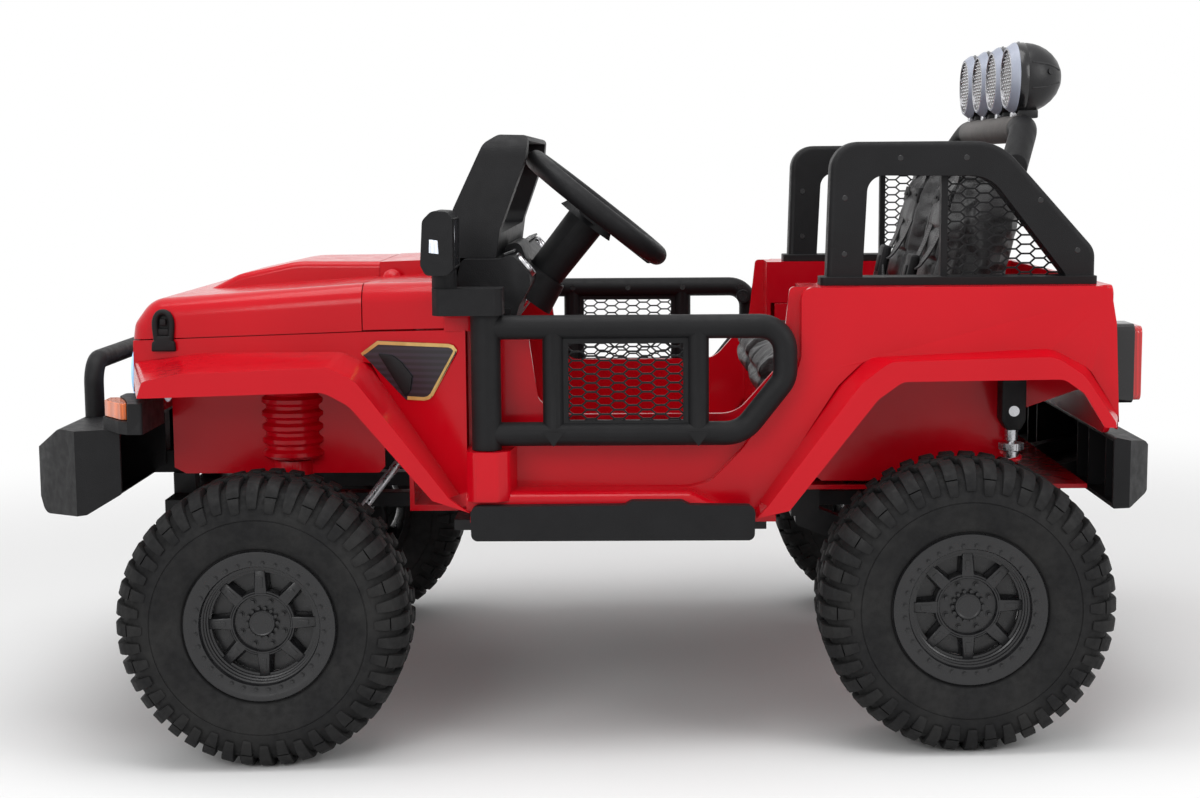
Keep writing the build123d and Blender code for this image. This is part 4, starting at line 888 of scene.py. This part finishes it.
def threads(mesh, tree, points, direction):
    # stitches laid on the pad along a line of points, cast from one side
    ray = Vector(direction)
    for here, there in zip(points, points[1:]):
        middle = (Vector(here) + Vector(there)) / 2
        hit, normal = tree.ray_cast(middle - ray * 200, ray)[:2]
        if hit is None:
            continue
        along = (Vector(there) - Vector(here)).normalized()
        across = normal.cross(along).normalized()
        turn = Matrix((along, across, normal)).transposed().to_4x4()
        brick(mesh, (seatForm["stitch"] * 0.62, 0.9, 0.7), hit, turn)


def makeSeats():
    form = seatForm
    middle = (levelBox("seat_backs")[1].y + innerEdge("seat_backs")) / 2
    half = form["panelHalf"]

    def behind(point):
        # distance behind the front face of the back, along X
        return backFront(point.z) - point.x

    back = swollenPad("seat_backs")
    inside = lambda point: abs(point.y - middle) < half + 2 and behind(point) < 40
    channels = [(lambda point, z=z: abs(point.z - z) if inside(point) else 99) for z in form["backChannels"]]
    edges = [lambda point: abs(abs(point.y - middle) - half) if behind(point) < 40 else 99,
             lambda point: abs(behind(point) - form["welt"]) if abs(point.y - middle) > 90 else 99]
    press(back, channels + edges)
    backTree = BVHTree.FromBMesh(back)
    cushion = swollenPad("seat_cushions")
    box = levelBox("seat_cushions")
    top = box[0].z + (box[1].z - box[0].z) * 0.45
    onPanel = lambda point: abs(point.y - middle) < half + 2 and point.z > top
    atRim = lambda point: abs(point.y - middle) > 90 or point.x > box[1].x - 26
    across = [(lambda point, x=x: abs(point.x - x) if onPanel(point) else 99)
              for x in form["cushionChannels"]]
    rails = [lambda point: abs(abs(point.y - middle) - half) if point.z > top else 99,
             lambda point: abs(point.z - top) if atRim(point) else 99]
    press(cushion, across + rails)
    cushionTree = BVHTree.FromBMesh(cushion)
    sewing = bmesh.new()
    step = form["stitch"]
    for shift in (-3.4, 3.4):
        for sign in (-1, 1):
            line = [(backFront(z) - form["welt"] + shift, middle, z)
                    for z in [500 + step * i for i in range(int(190 / step))]]
            threads(sewing, backTree, line, (0, -sign, 0))
            seamY = middle + sign * (half + shift)
            threads(sewing, backTree, [(0, seamY, point[2]) for point in line], (-1, 0, 0))
            threads(sewing, cushionTree, [(-210 - step * i, seamY, 500) for i in range(26)], (0, 0, -1))
    for side, sign in (("left", 1), ("right", -1)):
        place = bodyMatrix @ Matrix.Diagonal((1, sign, 1, 1))
        for pad, name, node in ((back, "seat_back_pad", "seat_backs"),
                                (cushion, "seat_cushion_pad", "seat_cushions")):
            piece = asPiece(pad.copy(), f"{name}_{side}", bodyOf[node], "black_leather", smooth=60,
                            place=place, replaces=[node] if sign == 1 else ())
        asPiece(sewing.copy(), f"seat_stitching_{side}", "root", "strap_webbing", stitchGrey(), place=place)
    return middle


def backFront(z):
    return seatLine["foot"] - (z - seatLine["base"]) * seatLine["slope"]


def stitchGrey():
    paint = Paint("stitchThread", (0.035, 0.035, 0.038), 0.6)
    paint.put("Base Color", paint.mix(paint.span(paint.speckle(900.0), 0.3, 0.7), (0.02, 0.02, 0.022),
                                      (0.07, 0.07, 0.075)))
    return paint.material


seatLine = {
    "base": levelBox("seat_backs")[0].z,
    "foot": levelBox("seat_backs")[1].x,
    "slope": 0.2217,             # of the seat back, 12.5 degrees
}
seatMiddle = makeSeats()
print("seats made")


# Harness webbing: flat straps with their buckles

harnessForm = {
    "width": 30.0,
    "thick": 2.0,
    "shoulder": 46.0,
    "buckle": 566.0,             # height of the middle of the buckle
    "guide": 664.0,
}


def ribbon(mesh, points, width, thick, across=(0, 1, 0)):
    # flat strap along a smooth line, its width along one direction
    line = bmesh.new()
    side = Vector(across).normalized() * width / 2
    smoothLine = []
    for i, point in enumerate(points[:-1]):
        before = Vector(points[max(i - 1, 0)])
        here, there = Vector(point), Vector(points[i + 1])
        after = Vector(points[min(i + 2, len(points) - 1)])
        for j in range(5):
            t = j / 5
            bend = 2 * before - 5 * here + 4 * there - after
            twist = 3 * here - before - 3 * there + after
            smoothLine.append(0.5 * ((2 * here) + (there - before) * t + bend * t * t + twist * t ** 3))
    smoothLine.append(Vector(points[-1]))
    rows = [(line.verts.new(point - side), line.verts.new(point + side)) for point in smoothLine]
    for (a, b), (c, d) in zip(rows, rows[1:]):
        line.faces.new((a, b, d, c))
    bmesh.ops.recalc_face_normals(line, faces=line.faces)
    bmesh.ops.solidify(line, geom=line.faces[:], thickness=thick)
    stamp(mesh, asPattern(line, "strap"), Matrix())


def makeHarness():
    form = harnessForm
    straps = bmesh.new()
    fittings = bmesh.new()
    bx, bz = backFront(form["buckle"]) + 26, form["buckle"]
    guide, lean = form["guide"], Matrix.Rotation(radians(-12), 4, "Y")
    for sign in (-1, 1):
        y = seatMiddle + sign * form["shoulder"]
        route = [(backFront(716) - 22, y, 716), (backFront(706) + 1, y, 704), (backFront(680) + 4, y, 680),
                 (backFront(640) + 7, y, 640), (backFront(605) + 13, seatMiddle + sign * 38, 605),
                 (backFront(580) + 22, seatMiddle + sign * 24, 580), (bx, seatMiddle + sign * 12, bz + 8)]
        ribbon(straps, route, form["width"], form["thick"])
        lap = [(backFront(488) + 4, seatMiddle + sign * 104, 488),
               (backFront(500) + 12, seatMiddle + sign * 78, 504),
               (backFront(530) + 22, seatMiddle + sign * 46, 534), (bx, seatMiddle + sign * 14, bz - 12)]
        ribbon(straps, lap, form["width"], form["thick"], (0.2, 0.3 * sign, 1))
        brick(fittings, (7, 40, 22), (backFront(guide) + 6, y, guide), lean, bevel=1.6)
        brick(fittings, (9, 26, 4), (backFront(guide) + 7, y, guide), lean, bevel=0.8)
    brick(fittings, (12, 46, 52), (bx + 2, seatMiddle, bz), lean, bevel=4, segments=3)
    brick(fittings, (5, 22, 24), (bx + 8, seatMiddle, bz), lean, bevel=2, segments=2)
    onBothSides(straps, "harness_straps", "strap_webbing", smooth=50, node="harnesses")
    onBothSides(fittings, "harness_buckles", "black_plastic")


makeHarness()
print("harness made")


# Side vents: black plate with its gold border and boss

ventForm = {
    "border": [(313, 480.6), (291, 496.6), (199, 496.2), (193, 494.6), (188.6, 489), (190, 484.4),
               (220, 431.6), (225, 427.2), (231, 425.4), (253, 425.6)],
    "width": 4.2,
    "thick": 4.2,
    "proud": 1.1,
    "boss": [(290, 481), (272, 480), (260, 472), (246, 455), (249, 437), (256, 429), (268, 447), (283, 470)],
}


def goldTrim():
    paint = Paint("goldTrim", (0.55, 0.36, 0.11), 0.4, Metallic=0.25)
    paint.put("Base Color", paint.mix(paint.span(paint.speckle(70.0, 3.0), 0.3, 0.7), (0.52, 0.335, 0.10),
                                      (0.63, 0.43, 0.15)))
    paint.bump(paint.speckle(600.0), 0.00003)
    return paint.material


def ventBlack():
    # smooth dark plate with soft violet bands
    paint = Paint("ventBlack", rough=0.4)
    x, y, z = paint.axes()
    bands = paint.span((z * 830.0).wave(), -0.7, 0.8)
    paint.put("Base Color", paint.mix(bands, (0.0075, 0.007, 0.010), (0.020, 0.016, 0.026)))
    return paint.material


def makeVents():
    form = ventForm
    skin = skinOf(["vent_panels", "front_fender_left"])
    gold, boss = bmesh.new(), bmesh.new()
    points = [Vector((x, 0, z)) for x, z in form["border"]]
    rows = []
    for i, point in enumerate(points):
        back = (point - points[max(i - 1, 0)]).normalized() if i else (points[1] - point).normalized()
        ahead = (points[min(i + 1, len(points) - 1)] - point).normalized() if i < len(points) - 1 else back
        mitre = (back + ahead).normalized()
        inward = Vector((mitre.z, 0, -mitre.x)) / max(0.5, mitre.dot(back))
        inner = point - inward * form["width"]
        seat = point - inward * 2 * form["width"]
        rise = max(sideDepth(skin, spot.x, spot.z) for spot in (inner, seat)) + form["proud"]
        rows.append([gold.verts.new((spot.x, rise, spot.z)) for spot in (point, inner)])
    for (a, b), (c, d) in zip(rows, rows[1:]):
        gold.faces.new((a, b, d, c))
    bmesh.ops.recalc_face_normals(gold, faces=gold.faces)
    grownBy(gold, gold.faces[:], (0, -form["thick"], 0), keep=True)
    slab(boss, form["boss"], -3.0, 2.4, 1.2)
    for vert in boss.verts:          # lies along the tapering side
        vert.co.y += sideDepth(skin, min(vert.co.x, 285), 458)
    onBothSides(gold, "vent_border", "bare_steel", goldTrim())
    onBothSides(boss, "vent_boss", "black_plastic")
    plates = mergedCopy("vent_panels")
    asPiece(plates, "vent_plates", "root", slotOf["vent_panels"], ventBlack(), bevel=0.0004,
            replaces=["vent_panels"])


makeVents()


# Hood latches: rubber loop over a peg, on a flared foot

latchForm = {
    "x": 569.0,
    "loop": [(-8.5, -4), (-11, 14), (-10, 26), (-5.5, 32.6), (0, 34.2), (5.5, 32.6), (10, 26), (11, 14),
             (8.5, -4)],
    "foot": [(-15.5, -16), (15.5, -16), (14.5, -4), (9, -1), (9, 4), (-9, 4), (-9, -1), (-14.5, -4)],
}


def makeLatches():
    form = latchForm
    box = levelBox("hood_latches")
    seamZ = box[0].z + 15
    skin = skinOf(["hood", "front_fender_left"])
    y = sideDepth(skin, form["x"], seamZ + 20)
    latch = bmesh.new()
    pipe(latch, [(form["x"] + u, y + 4.2, seamZ + v) for u, v in form["loop"]], 3.9)
    slab(latch, [(form["x"] + u, seamZ + v) for u, v in form["foot"]], y - 3, y + 8.4, 2.0, 3)
    brick(latch, (7.6, 9, 8.6), (form["x"], y + 2.6, seamZ + 21), bevel=1.4)
    slab(latch, [(form["x"] - 7.5, seamZ + 4), (form["x"] + 7.5, seamZ + 4), (form["x"] + 6.5, seamZ + 13),
                 (form["x"] - 6.5, seamZ + 13)], y - 1, y + 5.6, 1.4)
    brick(latch, (19, 3, 40), (form["x"], y - 0.4, seamZ + 14), bevel=1.2)
    onBothSides(latch, "hood_latch", "black_plastic", smooth=40, node="hood_latches")


makeLatches()
print("vents and latches made")


# Rear coil-over shocks

shockForm = {
    "inboard": 16.0,             # from the outer face to the rod's middle
    "coil": 11.2,
    "wire": 2.9,
    "turns": 8,
    "low": 253.0,
    "high": 351.0,
    "collar": (354.0, 362.5),
    "collarRadius": 14.6,
    "knurls": 30,
    "bolt": 404.0,
    "rodTop": 384.0,
    "rodFoot": 240.0,
}


def makeShocks():
    form = shockForm
    low, high = levelBox("shocks")
    x = (low.x + high.x) / 2
    outer = high.y
    y = outer - form["inboard"]
    bracket, metal, spring = bmesh.new(), bmesh.new(), bmesh.new()
    outline = [(-15, high.z), (15, high.z), (15, 392), (8, 380), (-8, 380), (-15, 392)]
    slab(bracket, [(x + shift, z) for shift, z in outline], outer - 34, outer - 0.6, 1.8)
    peg(metal, (x, y + 12, form["bolt"]), (x, outer - 0.2, form["bolt"]), 7.2, 6.6, 28)
    peg(metal, (x, y + 12, form["bolt"]), (x, outer, form["bolt"]), 4.6, 4.2, 6)
    peg(metal, (x, y, form["rodTop"]), (x, y, form["rodFoot"]), 5.4)
    peg(metal, (x, y, form["rodTop"]), (x, y, 366), 8.2, 8.2, 28)
    (start, end), rim = form["collar"], form["collarRadius"]
    peg(metal, (x, y, start), (x, y, end), rim, rim, 40)
    for i in range(form["knurls"]):
        turn = 2 * pi * i / form["knurls"]
        spot = (x + (rim + 0.2) * cos(turn), y + (rim + 0.2) * sin(turn), (start + end) / 2)
        brick(metal, (1.6, 1.7, end - start - 1), spot, Matrix.Rotation(turn, 4, "Z"))
    steps = form["turns"] * 12
    route = []
    for i in range(steps + 1):
        turn = 2 * pi * i / 12
        rise = form["low"] + (form["high"] - form["low"]) * i / steps
        route.append((x + form["coil"] * cos(turn), y + form["coil"] * sin(turn), rise))
    pipe(spring, route, form["wire"], segments=2)
    peg(bracket, (x, y, 238), (x, y, 250.5), 14, 13.4, 32)
    peg(metal, (x, y, 352), (x, y, 342), 9.6, 9.6, 24)
    body = bodyOf["shocks"]
    onBothSides(bracket, "shock_bracket", "black_plastic", body=body, node="shocks")
    onBothSides(metal, "shock_rod", "shock_metal", body=body)
    onBothSides(spring, "shock_spring", "red_plastic", smooth=70, body=body)


makeShocks()
print("shocks made")


# Small fittings of the cockpit and doors

dashForm = {
    "ventAt": (-205.0, -262.0, 262.0),
    "ventRadius": 17.0,
    "ventFace": (109.0, 588.0),
    "ventTilt": 50.0,
    "slats": 5,
    "teethFrom": -294.0,
    "teethTo": 296.0,
    "toothPitch": 7.0,
    "tooth": (128.0, 603.2),
    "clusterAt": 140.0,          # the teeth leave room for the steering column's cover
    "clusterHalf": 86.0,
    "switches": 6,
    "switchFrom": -250.0,
    "switchPitch": 34.0,
    "switchSlope": 61.0,
}


def makeDashTrim():
    form = dashForm
    bright, dark = bmesh.new(), bmesh.new()
    x, z = form["ventFace"]
    tilt = Matrix.Rotation(-radians(form["ventTilt"]), 4, "Y")
    radius = form["ventRadius"]
    for y in form["ventAt"]:
        place = Matrix.Translation((x, y, z)) @ tilt
        ring, core = bmesh.new(), bmesh.new()
        lip = [(-2.4, 0), (-1.8, 2.4), (-0.6, 3.0), (0, 2.2), (0.6, -4), (-2.4, -4)]
        spun(ring, [(radius + out, height) for out, height in lip], 48, closed=True)
        spun(core, [(0, 0.2), (radius - 2.2, 0.2), (radius - 2.2, -4), (0, -4)], 40)
        for i in range(form["slats"]):
            reach = (radius - 3) * 2 * (1 - ((i - 2) / 3.1) ** 2) ** 0.5
            brick(core, (1.4, reach, 2.4), ((i - 2) * 5.2, 0, 1.2), bevel=0.3)
        stamp(bright, asPattern(ring, "ventRing"), place)
        stamp(dark, asPattern(core, "ventCore"), place)
    step = form["toothPitch"]
    lean = Matrix.Rotation(radians(20), 4, "Y")
    toothX, toothZ = form["tooth"]
    for i in range(int((form["teethTo"] - form["teethFrom"]) / step)):
        y = form["teethFrom"] + i * step
        if abs(y - form["clusterAt"]) > form["clusterHalf"]:
            brick(dark, (13, 3.6, 3.4), (toothX, y, toothZ), lean, bevel=0.6, segments=1)
    slope = Matrix.Rotation(-radians(form["switchSlope"]), 4, "Y")
    for i in range(form["switches"]):
        y = form["switchFrom"] + i * form["switchPitch"]
        brick(dark, (15, 24, 3.2), (104.4, y, 556), slope, bevel=1.0)
        for shift in (-8, 8):
            brick(bright, (9, 1.2, 0.8), (102.6, y + shift, 555), slope)
    asPiece(bright, "dash_vent_rings", "root", "bare_steel", place=bodyMatrix)
    asPiece(dark, "dash_vents", "root", "black_gloss", place=bodyMatrix)


def mirrorGlass():
    paint = Paint("mirrorGlass", (0.52, 0.53, 0.60), 0.06, Metallic=1.0)
    paint.put("Roughness", paint.span(paint.speckle(60.0, 2.0), 0.3, 0.7, 0.04, 0.09))
    return paint.material


mirrorForm = {
    "middle": (183.8, 391.0, 621.0),
    "glass": (1.4, 66.0, 54.0),
    "rim": [(183.6, 357, 593), (183.6, 425, 593), (183.6, 425, 649), (183.6, 357, 649)],
    "rimRadius": 1.5,
    "marker": [(200, 609), (211.6, 610.4), (211, 626.4), (201, 625)],
    "markerDepth": (430.4, 432.6),
}


def makeMirrorTrim():
    form = mirrorForm
    glass, marker, rim = bmesh.new(), bmesh.new(), bmesh.new()
    brick(glass, form["glass"], form["middle"], bevel=0.6)
    slab(marker, form["marker"], *form["markerDepth"], 1.0)
    pipe(rim, form["rim"], form["rimRadius"], cyclic=True, tight=True, segments=1)
    onBothSides(glass, "mirror_glass", "bare_steel", mirrorGlass())
    onBothSides(marker, "mirror_marker", "clear_lens")
    onBothSides(rim, "mirror_rim", "black_plastic")


screwForm = {
    "door": (70.0, -17.0, -103.0, -193.0),
    "doorHeight": 518.0,
    "knob": (-197, 504),
    "rollBar": [(-283, 600), (-283, 668), (-350, 716), (-430, 716), (-520, 664), (-566, 603)],
}
cornerForm = {                   # red skin below the mirror bracket, and behind the slit by the hinge post
    "upper": ([(171, 512), (204, 512), (204, 534.6), (171, 534.6)], 300, 349.4, 1.2),
    "lower": ([(160, 318), (181, 318), (181, 533), (160, 533)], 312, 316, 0.8),
}


def makeDoorTrim():
    # screw wells along the inside of the top tube, and the latch knob's face
    form = screwForm
    knobX, knobZ = form["knob"]
    for side, sign in (("left", 1), ("right", -1)):
        wells = bmesh.new()
        for x in form["door"]:
            peg(wells, (x, 356.4, form["doorHeight"]), (x, 354.2, form["doorHeight"]), 4.6, 4.2, 20)
        peg(wells, (knobX, 340, knobZ), (knobX, 338.2, knobZ), 7.4, 6.8, 28)
        asPiece(wells, f"door_screws_{side}", f"door_{side[0]}", "black_gloss",
                place=bodyMatrix @ Matrix.Diagonal((1, sign, 1, 1)))


def makeCovers():
    covers, corner = bmesh.new(), bmesh.new()
    for x, z in screwForm["rollBar"]:
        peg(covers, (x, 270.9, z), (x, 270.2, z), 4.4, 4.0, 20)
        peg(covers, (x, 311.0, z), (x, 311.3, z), 3.4, 3.0, 20)
    for block in cornerForm.values():
        slab(corner, *block)
    onBothSides(covers, "roll_bar_covers", "black_gloss")
    onBothSides(corner, "scuttle_corner", "red_plastic")


makeDashTrim()
makeMirrorTrim()
makeDoorTrim()
makeCovers()
print("fittings made")


# Light rings round the headlamps

glowForm = {"wire": 2.2, "inset": 2.6, "behind": 2.4}


def makeGlow():
    form = glowForm
    low, high = levelBox("headlamps")
    z = (low.z + high.z) / 2
    radius = (high.z - low.z) / 2 - form["inset"]
    middle = high.y - (high.z - low.z) / 2
    paint = Paint("ringGlow", (0.45, 0.72, 0.95), 0.35, **{"Emission Color": (0.2, 0.55, 0.95, 1),
                                                          "Emission Strength": 0.5})
    paint.put("Roughness", paint.span(paint.speckle(400.0), 0.3, 0.7, 0.3, 0.42))
    ring = bmesh.new()
    turns = [pi * i / 24 for i in range(48)]
    x = high.x - form["behind"]
    pipe(ring, [(x, middle + radius * cos(turn), z + radius * sin(turn)) for turn in turns], form["wire"],
         cyclic=True, segments=2)
    onBothSides(ring, "headlamp_ring", "clear_lens", paint.material, smooth=70)


makeGlow()
print("headlamp rings made")


# Studio: pale floor that fades to white, soft lamps

studio = {
    "floorSize": 24.0,
    "fadeFrom": 0.9,
    "fadeTo": 2.6,
    "ambient": 0.55,
    "backdrop": 1.0,
    "aim": (0, 0, 0.4),
    "lamps": {                   # place, size and power
        "topBox": ((0.2, 0.4, 2.6), (2.6, 1.6), 42),
        "frontBox": ((1.2, 2.6, 1.5), (1.4, 1.0), 20),
        "rearBox": ((-2.0, 1.6, 1.4), (1.0, 1.2), 14),
    },
}


def makeFloor():
    mesh = bmesh.new()
    bmesh.ops.create_grid(mesh, x_segments=1, y_segments=1, size=studio["floorSize"] / 2)
    data = bpy.data.meshes.new("studioFloor")
    mesh.to_mesh(data)
    mesh.free()
    floor = bpy.data.objects.new("studioFloor", data)
    bpy.context.scene.collection.objects.link(floor)
    paint = Paint("floorPaper", (0.86, 0.86, 0.86), 0.9)
    x, y, z = paint.axes()
    distance = (x * x + y * y) ** 0.5
    white = paint.add("ShaderNodeEmission", {}, {"Color": (1, 1, 1, 1), "Strength": 1.0})
    fade = paint.span(distance, studio["fadeFrom"], studio["fadeTo"])
    shaded = Val(paint, paint.shader.outputs[0])
    blended = paint.add("ShaderNodeMixShader", {}, {0: fade, 1: shaded, 2: white})
    paint.tree.links.new(blended.socket, paint.tree.nodes["Material Output"].inputs[0])
    data.materials.append(paint.material)


def makeWorld():
    world = bpy.data.worlds.new("studioWorld")
    bpy.context.scene.world = world
    world.use_nodes = True
    tree = world.node_tree
    tree.nodes.clear()
    rays = tree.nodes.new("ShaderNodeLightPath")
    seen = rays.outputs["Is Camera Ray"]
    for ray in ("Is Glossy Ray", "Is Transmission Ray"):
        either = tree.nodes.new("ShaderNodeMath")
        either.operation = "MAXIMUM"
        tree.links.new(seen, either.inputs[0])
        tree.links.new(rays.outputs[ray], either.inputs[1])
        seen = either.outputs[0]
    choose = tree.nodes.new("ShaderNodeMixShader")
    tree.links.new(seen, choose.inputs[0])
    for i, strength in ((1, studio["ambient"]), (2, studio["backdrop"])):
        glow = tree.nodes.new("ShaderNodeBackground")
        glow.inputs[0].default_value = (1, 1, 1, 1)
        glow.inputs[1].default_value = strength
        tree.links.new(glow.outputs[0], choose.inputs[i])
    output = tree.nodes.new("ShaderNodeOutputWorld")
    tree.links.new(choose.outputs[0], output.inputs[0])


def makeLamp(name, place, size, power):
    data = bpy.data.lights.new(name, "AREA")
    data.shape = "RECTANGLE"
    data.size, data.size_y = size
    data.energy = power
    lamp = bpy.data.objects.new(name, data)
    bpy.context.scene.collection.objects.link(lamp)
    lamp.location = place
    lamp.rotation_euler = (Vector(studio["aim"]) - Vector(place)).to_track_quat("-Z", "Y").to_euler()


makeFloor()
makeWorld()
for name, lamp in studio["lamps"].items():
    makeLamp(name, *lamp)
bpy.context.scene.view_settings.view_transform = "Standard"
